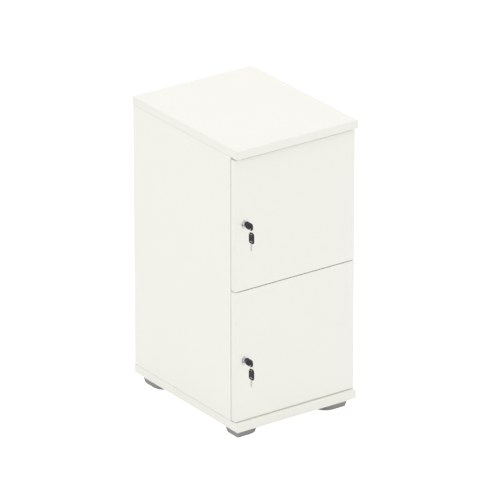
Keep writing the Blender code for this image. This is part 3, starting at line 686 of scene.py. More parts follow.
@dataclass(frozen=True)
class Finish:
    """A finish with a colour, a sheen and a fine grain.

    Attributes:
        name: The material's name.
        colour: Its linear colour.
        roughness: Its mean roughness.
        metallic: 1 for bare metal, 0 otherwise.
        grain: How many grains there are in a metre.
        depth: Height of the grain, in metres.
        tone: How far the colour strays either way, as a share.
        tone_range: Between which values of the grain's tone the colour strays.
        smear: How much rougher handled patches are.
        scratch: How much rougher the fine scratches are.
        stretch: How the scratches are drawn out, as a scale for each axis.
        dust: How much settled dust covers what faces up.
        dust_colour: The dust's linear colour.
        coat: Weight of a clear gloss over the colour.
        coat_roughness: Roughness of that gloss.
        through: How much light passes through, for clear rubber.
    """

    name: str
    colour: tuple
    roughness: float
    metallic: float = 0.0
    grain: float = 900.0
    depth: float = 0.01 * MM
    tone: float = 0.02
    tone_range: tuple = (0.3, 0.7)
    smear: float = 0.05
    scratch: float = 0.0
    stretch: tuple = (1.0, 1.0, 1.0)
    dust: float = 0.0
    dust_colour: tuple = (0.5, 0.49, 0.46)
    coat: float = 0.0
    coat_roughness: float = 0.15
    through: float = 0.0

    def build(self, effects: Effects) -> bpy.types.Material:
        """Return the finish as a material.

        Args:
            effects: The shared node groups.

        Returns:
            The material.
        """
        material = bpy.data.materials.new(self.name)
        material.use_nodes = True
        material.diffuse_color = (*self.colour, 1.0)
        graph = Graph(material.node_tree)
        place = graph.place()
        grain = graph.add("ShaderNodeGroup", {"Vector": place, "Grain Scale": self.grain},
                          node_tree=effects.grain).outputs
        marks = graph.add("ShaderNodeGroup", {"Vector": place, "Stretch": self.stretch},
                          node_tree=effects.handling).outputs
        tint = graph.span(grain["Tone"], *self.tone_range, 1.0 - self.tone, 1.0 + self.tone)
        colour = graph.shaded((*self.colour, 1.0), tint)
        colour, rough = self.layered(graph, effects, colour)
        rough = graph.math("MULTIPLY_ADD", marks["Smear"], self.smear, rough)
        rough = graph.math("MULTIPLY_ADD", marks["Scratch"], self.scratch, rough)
        bump = graph.add("ShaderNodeBump", {"Height": grain["Height"], "Strength": 1.0,
                                            "Distance": self.depth})
        graph.fill_inputs(graph.tree.nodes["Principled BSDF"], {
            "Base Color": colour, "Roughness": rough, "Normal": bump.outputs["Normal"],
            "Metallic": self.metallic, "Coat Weight": self.coat,
            "Coat Roughness": self.coat_roughness, "Transmission Weight": self.through})
        return material

    def layered(self, graph: Graph, effects: Effects, colour: object) -> tuple:
        """Return the colour and roughness once settled dust is added.

        Args:
            graph: The writer of the material's nodes.
            effects: The shared node groups.
            colour: The bare surface's colour.

        Returns:
            The colour's socket, and the roughness as a number or a socket.
        """
        if not self.dust:
            return colour, self.roughness
        dust = graph.add("ShaderNodeGroup", {"Vector": graph.place()}, node_tree=effects.dust)
        amount = graph.math("MULTIPLY", dust.outputs["Amount"], self.dust)
        colour = graph.blend(amount, colour, (*self.dust_colour, 1.0))
        return colour, graph.math("ADD", amount, self.roughness)


@dataclass(frozen=True)
class Metal(Finish):
    """Bare or plated metal."""

    metallic: float = 1.0


@dataclass(frozen=True)
class Melamine(Finish):
    """Melamine-faced board: laminate on its faces, a glued band round its edges, a seam between.

    Attributes:
        band_tone: How light the band is, as a share of the laminate.
        band_gloss: How much less rough the band is than the laminate.
        seam_tone: How light the glue line is, as a share of the laminate.
    """

    band_tone: float = 0.984
    band_gloss: float = 0.08
    seam_tone: float = 0.80

    def layered(self, graph: Graph, effects: Effects, colour: object) -> tuple:
        """Return the colour and roughness with the edge band and its seam.

        Args:
            graph: The writer of the material's nodes.
            effects: The shared node groups.
            colour: The laminate's colour.

        Returns:
            The sockets of the colour and of the roughness.
        """
        value = graph.add("ShaderNodeAttribute", attribute_name=BAND_ATTRIBUTE).outputs["Fac"]
        masks = graph.add("ShaderNodeGroup", {"Value": value}, node_tree=effects.band).outputs
        band = graph.span(masks["Band"], 0.0, 1.0, 1.0, self.band_tone)
        seam = graph.span(masks["Seam"], 0.0, 1.0, 1.0, self.seam_tone)
        rough = graph.span(masks["Band"], 0.0, 1.0, self.roughness, self.roughness - self.band_gloss)
        return graph.shaded(colour, graph.math("MULTIPLY", band, seam)), rough


@dataclass(frozen=True)
class Chipboard(Finish):
    """Raw chipboard where a board is bored or grooved: pressed flakes of pale and brown wood.

    Attributes:
        flake_scale: Coarse flakes to the metre.
        flake_layers: Layers of flakes: how much finer each is, and its darkest and lightest flake.
        flake_stretch: How the flakes lie along the board and thin across it.
        flake_bend: How far a noise bends the flakes, in flakes.
    """

    flake_scale: float = 620.0
    flake_layers: tuple = ((1.0, 0.62, 1.22), (3.0, 0.70, 1.20))
    flake_stretch: tuple = (0.7, 0.7, 1.4)
    flake_bend: float = 1.5

    def layered(self, graph: Graph, effects: Effects, colour: object) -> tuple:
        """Return the colour with its flakes, and the roughness.

        Each flake is a cell of a Voronoi pattern, read at stretched coordinates that a noise
        bends, and its own random level shades the colour.

        Args:
            graph: The writer of the material's nodes.
            effects: The shared node groups, of which flakes need none.
            colour: The mean colour.

        Returns:
            The colour's socket, and the roughness as a number.
        """
        lying = graph.add("ShaderNodeMapping", {"Vector": graph.place(),
                                                "Scale": self.flake_stretch}).outputs[0]
        warp = graph.noise(lying, self.flake_scale, detail=3.0)
        bent = graph.blend(self.flake_bend / self.flake_scale, lying, warp, "LINEAR_LIGHT")
        for finer, dark, light in self.flake_layers:
            values = {"Vector": bent, "Scale": self.flake_scale * finer, "Randomness": 1.0}
            flakes = graph.add("ShaderNodeTexVoronoi", values).outputs["Color"]
            level = graph.add("ShaderNodeSeparateColor", {0: flakes}).outputs[0]
            colour = graph.shaded(colour, graph.span(level, 0.0, 1.0, dark, light))
        return colour, self.roughness


class Finishes:
    """Every material of the locker."""

    def __init__(self) -> None:
        """Build the shared effects and the materials."""
        effects = Effects()
        self.board = Melamine("white_melamine", (0.890, 0.888, 0.820), 0.50, grain=1400.0,
                              depth=0.006 * MM, tone=0.006, smear=0.04).build(effects)
        self.back = Finish("back_board_laminate", (0.88, 0.88, 0.82), 0.55, grain=1100.0,
                           depth=0.008 * MM, tone=0.008).build(effects)
        self.core = Chipboard("chipboard_core", (0.52, 0.38, 0.23), 0.85, grain=1500.0,
                              depth=0.15 * MM, tone=0.2).build(effects)
        self.foot = Finish("grey_foot_plastic", (0.350, 0.350, 0.346), 0.50, grain=1700.0,
                           depth=0.03 * MM, tone=0.05, dust=0.15).build(effects)
        self.key_head = Finish("black_key_plastic", (0.009, 0.009, 0.0095), 0.46, grain=2600.0,
                               depth=0.02 * MM, tone=0.15, dust=0.01).build(effects)
        self.chrome = Metal("polished_chrome", (0.93, 0.935, 0.94), 0.30, grain=3000.0,
                            depth=0.0004 * MM, tone=0.01, smear=0.06, scratch=0.03,
                            stretch=(1.0, 1.0, 14.0)).build(effects)
        self.satin = Metal("satin_chrome", (0.95, 0.95, 0.955), 0.50, grain=3000.0,
                           depth=0.001 * MM, scratch=0.10, stretch=(1.0, 1.0, 14.0)).build(effects)
        self.zinc = Metal("zinc_plating", (0.60, 0.605, 0.60), 0.30, grain=1500.0,
                          depth=0.004 * MM, tone=0.07, smear=0.12, scratch=0.08,
                          stretch=(14.0, 1.0, 1.0)).build(effects)
        self.nickel = Metal("nickel_plated_steel", (0.68, 0.67, 0.645), 0.24, grain=2000.0,
                            depth=0.002 * MM, tone=0.04, smear=0.10, scratch=0.06,
                            stretch=(1.0, 1.0, 10.0)).build(effects)
        self.blade = Metal("milled_key_steel", (0.70, 0.695, 0.68), 0.27, grain=4000.0,
                           depth=0.004 * MM, tone=0.05, smear=0.08, scratch=0.12,
                           stretch=(20.0, 1.0, 1.0)).build(effects)
        self.rubber = Finish("clear_rubber", (0.86, 0.86, 0.84), 0.30, grain=800.0, coat=0.3,
                             through=0.55).build(effects)
        self.cap = Finish("white_cap_plastic", (0.82, 0.82, 0.79), 0.38, grain=1500.0,
                          depth=0.006 * MM, tone=0.01).build(effects)


@dataclass
class Board:
    """A board with rounded edges, a band glued round its rim and laminate on its two faces.

    The edges' rounding stays under the band's thickness less half the seam, because the seam's
    rings would otherwise fold over it.

    Attributes:
        node: The CAD node that it stands for.
        body: The body that it rides on.
        thin: The axis across its thickness.
        edge_radius: Rounding of its edges.
        corner_radius: Rounding of its outline's corners.
        least_radius: Rounding left in the corners of the rings inside the outline.
        band_thickness: Thickness of the edge band.
        seam_width: Width of the glue line, whose middle is sunk by a tenth of it.
        support: Width of the flat strip between a rounding or seam and the broad faces.
        corner_steps: Points round each corner of its outline, where two bands meet.
        bare: The axis whose two ends are left as raw chipboard, hidden in joints.
        cuts: Solids taken out of it, in passes whose own solids don't touch each other.
    """

    node: str
    body: str
    thin: Axis
    edge_radius: float = 0.8 * MM
    corner_radius: float = 0.6 * MM
    least_radius: float = 0.03 * MM
    band_thickness: float = 1.0 * MM
    seam_width: float = 0.18 * MM
    support: float = 0.25 * MM
    corner_steps: int = 5
    bare: Axis | None = None
    cuts: list[list[Shape]] = field(default_factory=list)

    def profile(self, thickness: float) -> tuple[Array, Array]:
        """Return the steps across the board's edge, from one broad face to the other.

        They are the laminate's rim, the seam, the band, a quarter circle round the edge, and the
        same in reverse.

        Args:
            thickness: Thickness of the board.

        Returns:
            The (inset, height) steps, and the band value of each.
        """
        rim = rounded_edge(thickness, self.edge_radius, support=self.support)
        seam, half = self.band_thickness, self.seam_width / 2
        face = np.array([(seam + half + self.support, 0.0), (seam + half, 0.0), (seam, half / 5),
                         (seam - half, 0.0)]) - (0, thickness / 2)
        laminate = np.array((0.0, 0.0, ON_SEAM, 1.0))
        values = np.concatenate((laminate, np.ones(len(rim)), laminate[::-1]))
        return np.concatenate((face, rim, face[::-1] * (1, -1))), values

    def surface(self) -> Shape:
        """Return the board's surface, worked out flat and then turned to its axes.

        Its outline is a rounded rectangle, carried across the thickness. A ring set in by a
        distance has that much less in its corners' radius. Inside each corner's arc the band
        value is the seam's, because two bands meet there.

        Returns:
            The board's closed surface, with its band values.
        """
        low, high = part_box(self.node)
        size, middle = high - low, (low + high) / 2
        x_way = Vector((0, 1, 0)) if self.thin is Axis.X else Vector((1, 0, 0))
        y_way = Vector((0, 1, 0)) if self.thin is Axis.Z else Vector((0, 0, 1))
        width, height = (abs(size.dot(way)) for way in (x_way, y_way))
        profile, across = self.profile(size[self.thin.value])
        meeting = np.ones(self.corner_steps)
        meeting[1:-1] = ON_SEAM
        band = np.minimum(across[:, None], np.tile(meeting, 4))
        rings = []
        for inwards, level in profile:
            radius = max(self.corner_radius - inwards, self.least_radius)
            ring = rounded_rectangle(width - 2 * inwards, height - 2 * inwards, radius, self.corner_steps)
            rings.append(at_height(ring, level))
        shape = loft(np.array(rings), band=band)
        return shape.moved(place_on(middle, x_way, y_way)).outward()

    def bare_ends(self, item: bpy.types.Object, core: bpy.types.Material) -> None:
        """Show raw chipboard on the two ends across an axis, which joints hide.

        Args:
            item: The board's object.
            core: The raw chipboard.
        """
        item.data.materials.append(core)
        normals = np.empty(len(item.data.polygons) * 3, np.float32)
        item.data.polygons.foreach_get("normal", normals)
        ends = np.abs(normals.reshape(-1, 3)[:, self.bare.value]) > SQUARE_ON
        item.data.polygons.foreach_set("material_index", ends.astype(np.int32))

    def build(self, finishes: Finishes) -> bpy.types.Object:
        """Return the board, cut and handed over to the frame.

        Args:
            finishes: The locker's materials.

        Returns:
            The piece.
        """
        item = to_object(self.node + "_board", self.surface(), finishes.board)
        if self.bare:
            self.bare_ends(item, finishes.core)
        for solids in self.cuts:
            carve(item, solids, finishes.core)
        return finished(item, self.body, "white_board", self.node)


@dataclass(frozen=True)
class Screw:
    """A screw's head with a cross recess, standing along its own third axis from height 0.

    Attributes:
        radius: Radius of the head.
        height: Height of the head.
        recess: How far the recess reaches from the middle, as a share of the radius.
        arm: Half width of the recess's arms, as a share of the radius.
        side: Radius of the head's underside and height of its side, as shares of its own.
        rounding: Radius of its shoulder, as a share of its height, and the degrees it turns by.
        hollow: Steps down the recess, each its size and height as shares of its mouth's size
            and of the head's height.
        steps: Points round the head.
    """

    radius: float
    height: float
    recess: float = 0.62
    arm: float = 0.2
    side: tuple = (0.9, 0.1)
    rounding: tuple = (0.7, 70.0)
    hollow: tuple = ((1.0, 0.97), (0.94, 0.88), (0.72, 0.3))
    steps: int = 64

    def recess_outline(self) -> Array:
        """Return the recess's outline.

        Its radius at an angle is the smaller of reach / max(|cos|, |sin|), its arms' ends,
        and half width / min(|cos|, |sin|), its arms' sides.

        Returns:
            Outline points as (point, xy).
        """
        way = circle(1.0, self.steps)
        across = np.abs(way)
        sides = self.arm * self.radius / np.maximum(across.min(1), TINY)
        return np.minimum(self.recess * self.radius / across.max(1), sides)[:, None] * way

    def surface(self) -> Shape:
        """Return the head: a domed disc with its recess sunk to 0.3 of its height.

        Returns:
            The head's closed surface.
        """
        (foot, side), (share, turn) = self.side, self.rounding
        shoulder = self.height * share
        top = arc_profile((self.radius - shoulder, self.height - shoulder), shoulder, 0.0, turn, steps=5)
        profile = np.concatenate(([(self.radius * foot, 0.0), (self.radius, side * self.height)], top))
        unit, mouth = circle(1.0, self.steps), self.recess_outline()
        rings = [at_height(unit * radius, height) for radius, height in profile]
        rings += [at_height(mouth * size, self.height * height) for size, height in self.hollow]
        return loft(np.array(rings))

    def set_at(self, spots: list[Vector], facing: Facing) -> Shape:
        """Return several screws' heads as one shape, each standing on its spot."""
        head = self.surface()
        return merged([head.moved(facing.at(spot)) for spot in spots])


@dataclass
class Foot:
    """A moulded foot: round, but drawn out to a sharp corner under the board's corner.

    Attributes:
        node: The CAD node that it stands for.
        flare: How much wider the top is than the bottom.
        chamfer: Rounding of the bottom edge.
        corner: Radius of the drawn-out corner.
        lip: Height of the thin lip against the board.
        neck: How deep the fine step below the lip is set in, and how high it is.
        top: How much the lip's upper edge is set in, and over what height.
        roundness: Radius of the other corners, as a share of half the side; at 1 their arcs meet.
        side: The side's first and last step, as shares of the height below the lip.
        steps: Points round each corner, up the bottom edge's rounding and up the side.
        sharp: Angle in degrees past which an edge stays sharp.
    """

    node: str
    flare: float = 6.0 * MM
    chamfer: float = 1.0 * MM
    corner: float = 1.6 * MM
    lip: float = 1.6 * MM
    neck: float = 0.25 * MM
    top: float = 0.3 * MM
    roundness: float = 0.999
    side: tuple = (0.1, 0.96)
    steps: tuple = (20, 5, 8)
    sharp: float = 40.0

    def outline(self, middle: Vector, half: float) -> Array:
        """Return the bottom's outline: a square with three corners rounded to half its side.

        The fourth corner, drawn out, is the one that lies away from the base panel's middle.

        Args:
            middle: The foot's middle.
            half: Half the bottom's side.

        Returns:
            Outline points as (point, xy).
        """
        outer = np.sign(middle.xy - centre_of("base_panel").xy)
        signs = np.array([(-1, -1), (1, -1), (1, 1), (-1, 1)], float)
        radii = np.where((signs == outer).all(1), self.corner, half * self.roundness)
        return filleted(signs * half, radii, self.steps[0])

    def surface(self) -> Shape:
        """Return the foot's surface.

        The outline is scaled at each height from the bottom's size to the top's, with a rounded
        bottom edge, a fine step for the lip and an upper edge that is set in a little.

        Returns:
            The foot's closed surface.
        """
        low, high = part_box(self.node)
        middle, height = (low + high) / 2, high.z - low.z
        half = (high.x - low.x) / 2 - self.flare
        outline = self.outline(middle, half)
        rings = []
        for angle in np.linspace(0.0, math.pi / 2, self.steps[1]):
            ring = inset(outline, self.chamfer * (1 - math.sin(angle)))
            rings.append(at_height(ring, self.chamfer * (1 - math.cos(angle))))
        lip_low = height - self.lip
        side = [(level, 0.0) for level in np.linspace(*self.side, self.steps[2]) * lip_low]
        lip = [(lip_low - self.neck, self.neck), (lip_low, 0.0), (height - self.top, 0.0), (height, self.top)]
        for level, sink in side + lip:
            widen = 1 + self.flare / half * level / height
            rings.append(at_height(inset(outline * widen, sink), level))
        return loft(np.array(rings) + np.array((middle.x, middle.y, low.z)))

    def build(self, finishes: Finishes) -> bpy.types.Object:
        """Return the foot, handed over to the frame."""
        return piece(self.node + "_moulding", self.surface(), finishes.foot, "carcass", "grey_plastic",
                     self.node, sharp=self.sharp)


@dataclass
class Carcass:
    """The boards that don't move, the caps over their fittings, and the feet.

    Attributes:
        touch: Air that the CAD leaves between pieces that touch.
        mortise: Width of the slot that a lock's cam turns into, and its depth in the side panel.
        strike_tail: How far a strike plate runs past its slot's ends.
        shelf_edge: Rounding of the middle shelf's edges.
        cap_radius: Radius of a fitting's cover cap.
        cap_sides: Heights of the underside of a cap's skirt, of its top and of its shoulder.
        cap_shoulder: Radius of a cap's shoulder, as a share of its own.
        cap_dome: Height of a cap's middle, and how much lower its dome would be at the edge.
        cap_reach: Radii of the dome's first and last step, as shares of a cap's own.
        cap_steps: Points round a cap and steps up its dome.
        cap_from_joint: Distance of a cap from the joint that it serves.
        cap_from_front: Distance of a cap from the side panel's front edge.
    """

    touch: float = 0.3 * MM
    mortise: tuple = (4.6 * MM, 12.0 * MM)
    strike_tail: float = 9.0 * MM
    shelf_edge: float = 0.4 * MM
    cap_radius: float = 8.5 * MM
    cap_sides: tuple = (-0.2 * MM, 0.45 * MM, 0.75 * MM)
    cap_shoulder: float = 0.975
    cap_dome: tuple = (1.2 * MM, 0.35 * MM)
    cap_reach: tuple = (0.93, 0.03)
    cap_steps: tuple = (48, 7)
    cap_from_joint: float = 34.0 * MM
    cap_from_front: float = 50.0 * MM

    def groove_cut(self, low_z: float, high_z: float) -> Shape:
        """Return the solid that cuts the back panel's groove.

        Args:
            low_z: Its lower end.
            high_z: Its upper end.

        Returns:
            A block a little wider and thicker than the panel.
        """
        low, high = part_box("back_panel")
        return block(Vector((low.x - self.touch, low.y - self.touch, low_z)),
                     Vector((high.x + self.touch, high.y + self.touch, high_z)))

    def strike_seat(self, door: str) -> Shape:
        """Return the solid that cuts the seat of a door's strike plate.

        Args:
            door: The door.

        Returns:
            A block that reaches out of the side panel's inner face.
        """
        low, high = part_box(door + "_strike_plate")
        air = Vector((self.touch,) * 3)
        return block(low - air, high + air + Vector((MM, 0, 0)))

    def cam_mortise(self, door: str) -> Shape:
        """Return the solid that cuts the slot behind a strike plate, which the cam turns into.

        Args:
            door: The door.

        Returns:
            A block that reaches out of the side panel's inner face.
        """
        low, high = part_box(door + "_strike_plate")
        (width, depth), y = self.mortise, centre_of(door + "_lock_cam").y
        return block(Vector((high.x - depth, y - width / 2, low.z + self.strike_tail)),
                     Vector((high.x + MM, y + width / 2, high.z - self.strike_tail)))

    def cap(self) -> Shape:
        """Return a domed cover cap about the origin, standing up along the third axis.

        Its profile is an upright skirt, a sloping shoulder and a shallow dome that falls with
        the square of the distance from its middle.

        Returns:
            The cap.
        """
        radius, (foot, skirt, shoulder), (middle, fall) = self.cap_radius, self.cap_sides, self.cap_dome
        around, up = self.cap_steps
        reach = np.linspace(*self.cap_reach, up)
        dome = np.stack((reach * radius, middle - fall * reach ** 2), -1)
        sides = [(radius, foot), (radius, skirt), (radius * self.cap_shoulder, shoulder)]
        return turned(np.concatenate((sides, dome)), around)

    def caps(self) -> list[Shape]:
        """Return the caps on the side panels' inner faces and under the middle shelf.

        Returns:
            The caps, each in its place.
        """
        left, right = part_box("side_panel_left"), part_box("side_panel_right")
        low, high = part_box("middle_shelf")
        floor_z, ceiling_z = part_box("base_panel")[1].z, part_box("top_panel")[0].z
        cap, made = self.cap(), []
        for y in (left[0].y + self.cap_from_front, left[1].y - self.cap_from_front):
            for z in (floor_z + self.cap_from_joint, ceiling_z - self.cap_from_joint):
                made.append(cap.moved(Facing.RIGHT.at(Vector((left[1].x, y, z)))))
                made.append(cap.moved(Facing.LEFT.at(Vector((right[0].x, y, z)))))
            for x in (low.x + self.cap_from_joint, high.x - self.cap_from_joint):
                made.append(cap.moved(Facing.DOWN.at(Vector((x, y, low.z)))))
        return made

    def boards(self, finishes: Finishes) -> None:
        """Build the boards, with the back panel's groove and the strikes' seats and slots in them.

        Args:
            finishes: The locker's materials.
        """
        low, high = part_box("back_panel")
        short = self.groove_cut(low.z - self.touch, high.z + self.touch)
        long = self.groove_cut(0.0, 2 * high.z)
        seats, slots = ([cut(door) for door in DOORS] for cut in (self.strike_seat, self.cam_mortise))
        for node in ("top_panel", "base_panel"):
            Board(node, "carcass", Axis.Z, cuts=[[short]]).build(finishes)
        Board("side_panel_left", "carcass", Axis.X, bare=Axis.Z, cuts=[[long, *seats], slots]).build(finishes)
        Board("side_panel_right", "carcass", Axis.X, bare=Axis.Z, cuts=[[long]]).build(finishes)
        Board("middle_shelf", "carcass", Axis.Z, edge_radius=self.shelf_edge, bare=Axis.X).build(finishes)
        dress(frame["nodes"]["back_panel"].data, finishes.back)

    def build(self, finishes: Finishes) -> None:
        """Build the boards, the caps and the feet.

        Args:
            finishes: The locker's materials.
        """
        self.boards(finishes)
        piece("fitting_caps", merged(self.caps()), finishes.cap, "carcass", "white_board")
        for row in ("front", "rear"):
            for column in ("left", "right"):
                Foot(f"foot_{row}_{column}").build(finishes)


def dress(mesh: bpy.types.Mesh, material: bpy.types.Material) -> None:
    """Give a mesh one material in place of those that it has."""
    mesh.materials.clear()
    mesh.materials.append(material)


def refined(node: str, label: str, body: str, slot: str, material: bpy.types.Material,
            edge: float = 0.15 * MM) -> bpy.types.Object:
    """Return a copy of a CAD node with its triangles merged and its sharp edges broken.

    Args:
        node: The CAD node, which the copy stands for.
        label: Ending of the copy's name.
        body: The body that it rides on.
        slot: The name of the record's finish, passed on to finished.
        material: What it is made of.
        edge: Width of the broken edges.

    Returns:
        The piece.
    """
    mesh = frame["nodes"][node].data.copy()
    work = bmesh.new()
    work.from_mesh(mesh)
    bmesh.ops.remove_doubles(work, verts=work.verts, dist=SAME_POINT)
    bmesh.ops.dissolve_limit(work, angle_limit=math.radians(FLAT), verts=work.verts, edges=work.edges)
    work.to_mesh(mesh)
    work.free()
    dress(mesh, material)
    item = in_scene(f"{node}_{label}", mesh)
    bevel = item.modifiers.new("broken_edges", "BEVEL")
    bevel.width = edge
    bevel.segments = 2
    bevel.limit_method = "ANGLE"
    bevel.angle_limit = math.radians(BROKEN)
    apply_modifiers(item)
    smooth(item.data, SHARP)
    return finished(item, body, slot, node)


@dataclass
class Door:
    """A door board with its lock bore, cup bores and bumpers.

    Attributes:
        name: Which door it is.
        bore_air: Air between a bore and what sits in it.
        barrel: Radius of the lock's barrel.
        through: Length of the solid that bores right through for the lock.
        cup_depth: Depth of a hinge cup's bore.
        bumper_depth: Depth of a bumper's seat.
        bumper_foot: Radius of a bumper's underside and height of its rim, as shares of its own.
        bumper_skirt: Height of a bumper's upright side, as a share of its height.
        bumper_top: Angle in degrees at which its dome ends in a small flat.
        steps: Points round a cup's bore, round a bumper and up its dome.
    """

    name: str
    bore_air: float = 0.3 * MM
    barrel: float = 9.0 * MM
    through: float = 80.0 * MM
    cup_depth: float = 12.3 * MM
    bumper_depth: float = 1.0 * MM
    bumper_foot: tuple = (0.97, 0.12)
    bumper_skirt: float = 0.35
    bumper_top: float = 86.0
    steps: tuple = (72, 40, 9)

    def seat(self, node: str, depth: float, steps: int) -> Shape:
        """Return the solid that bores a seat for a round CAD node into the door's back.

        Args:
            node: The CAD node.
            depth: Depth of the seat.
            steps: Points round it.

        Returns:
            A cylinder whose middle is on the door's back face.
        """
        low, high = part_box(node)
        point = Vector(((low.x + high.x) / 2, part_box(self.name + "_door")[1].y, (low.z + high.z) / 2))
        bore = cylinder((high.x - low.x) / 2 + self.bore_air, 2 * depth, steps)
        return bore.moved(Facing.FRONT.at(point))

    def bores(self) -> list[Shape]:
        """Return the solids that bore the lock's, the hinge cups' and the bumpers' seats.

        Returns:
            A cylinder for each, through the door for the lock.
        """
        lock = cylinder(self.barrel + self.bore_air, self.through)
        made = [lock.moved(Facing.FRONT.at(centre_of(self.name + "_lock_housing")))]
        for label in ENDS:
            made.append(self.seat(f"{self.name}_hinge_{label}_cup", self.cup_depth, self.steps[0]))
            made.append(self.seat(f"{self.name}_bumper_{label}", self.bumper_depth, self.steps[1]))
        return made

    def bumper(self, label: str, finishes: Finishes) -> bpy.types.Object:
        """Return a soft domed bumper stuck in its seat.

        Its height falls from the middle as a quarter ellipse, down to an upright side with a
        drawn-in foot.

        Args:
            label: Which of the door's bumpers it is.
            finishes: The locker's materials.

        Returns:
            The piece.
        """
        node = f"{self.name}_bumper_{label}"
        low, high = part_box(node)
        radius, height = (high.x - low.x) / 2, high.y - low.y
        (foot, rim), skirt = self.bumper_foot, self.bumper_skirt
        around, up = self.steps[1:]
        angles = np.radians(np.linspace(0.0, self.bumper_top, up))
        dome = np.stack((radius * np.cos(angles), height * (skirt + (1 - skirt) * np.sin(angles))), -1)
        shape = turned(np.concatenate(([(radius * foot, 0.0), (radius, rim * height)], dome)), around)
        point = Vector(((low.x + high.x) / 2, low.y, (low.z + high.z) / 2))
        return piece(node + "_dome", shape.moved(Facing.BACK.at(point)), finishes.rubber,
                     self.name + "_door", "clear_rubber", node)

    def build(self, finishes: Finishes) -> None:
        """Build the door board and its bumpers.

        Args:
            finishes: The locker's materials.
        """
        node = self.name + "_door"
        Board(node, node, Axis.Y, cuts=[self.bores()]).build(finishes)
        for label in ENDS:
            self.bumper(label, finishes)


@dataclass
class CupHinge:
    """A concealed hinge: cup, arm, two links and mounting plate, with their screws.

    Attributes:
        door: The door that it carries.
        label: Which of the door's hinges it is.
        wood_screw: The screws that hold the cup's flange and the plate's wings.
        set_screw: The screws that hold and shift the arm on its plate.
        flange_screw: From the cup's middle to a flange screw, across the door and up or down it.
        wing_screw: From the plate's front end to a wing screw, and from its middle up or down.
        wing_thickness: Thickness of the plate's wings.
        eye_reach: How far the arm's eyes stand out past the flat of its bar.
        set_screws_back: From the arm's rear end to each set screw.
        sunk: How deep a screw's head sits in what it holds.
    """

    door: str
    label: str
    wood_screw: Screw = Screw(3.4 * MM, 1.1 * MM)
    set_screw: Screw = Screw(2.7 * MM, 0.9 * MM)
    flange_screw: tuple = (-6.0 * MM, 20.5 * MM)
    wing_screw: tuple = (19.5 * MM, 17.0 * MM)
    wing_thickness: float = 2.0 * MM
    eye_reach: float = 11.3 * MM
    set_screws_back: tuple = (12.0 * MM, 29.0 * MM)
    sunk: float = 0.15 * MM

    def node(self, part: str) -> str:
        """Return the CAD node of one of the hinge's parts."""
        return f"{self.door}_hinge_{self.label}_{part}"

    def flange_screws(self) -> Shape:
        """Return the two screws on the cup's flange, facing the inside of the locker.

        Returns:
            Both heads as one shape.
        """
        middle, back = centre_of(self.node("cup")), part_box(self.node("cup"))[1].y - self.sunk
        across, up = self.flange_screw
        spots = [Vector((middle.x + across, back, middle.z + side * up)) for side in (-1, 1)]
        return self.wood_screw.set_at(spots, Facing.BACK)

    def wall_screws(self) -> Shape:
        """Return the screws in the plate's wings and in the arm, facing away from the side panel.

        Returns:
            All four heads as one shape.
        """
        low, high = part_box(self.node("plate"))
        arm_low, arm_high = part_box(self.node("arm"))
        along, up = self.wing_screw
        z, wing_x = (low.z + high.z) / 2, high.x - self.wing_thickness + self.sunk
        wings = [Vector((wing_x, low.y + along, z + side * up)) for side in (-1, 1)]
        arm_x = arm_low.x + self.eye_reach + self.sunk
        bar = [Vector((arm_x, arm_high.y - back, z)) for back in self.set_screws_back]
        return merged([self.wood_screw.set_at(wings, Facing.LEFT), self.set_screw.set_at(bar, Facing.LEFT)])

    def build(self, finishes: Finishes) -> None:
        """Build the hinge's parts and screws.

        Args:
            finishes: The locker's materials.
        """
        bodies = {"cup": self.door + "_door", "arm": "carcass", "plate": "carcass",
                  "inner_link": self.door + "_inner_links", "outer_link": self.door + "_outer_links"}
        for part, body in bodies.items():
            refined(self.node(part), "pressing", body, "steel", finishes.nickel)
        for part, screws in (("cup", self.flange_screws()), ("plate", self.wall_screws())):
            piece(self.node(part) + "_screws", screws, finishes.nickel, bodies[part], "steel")


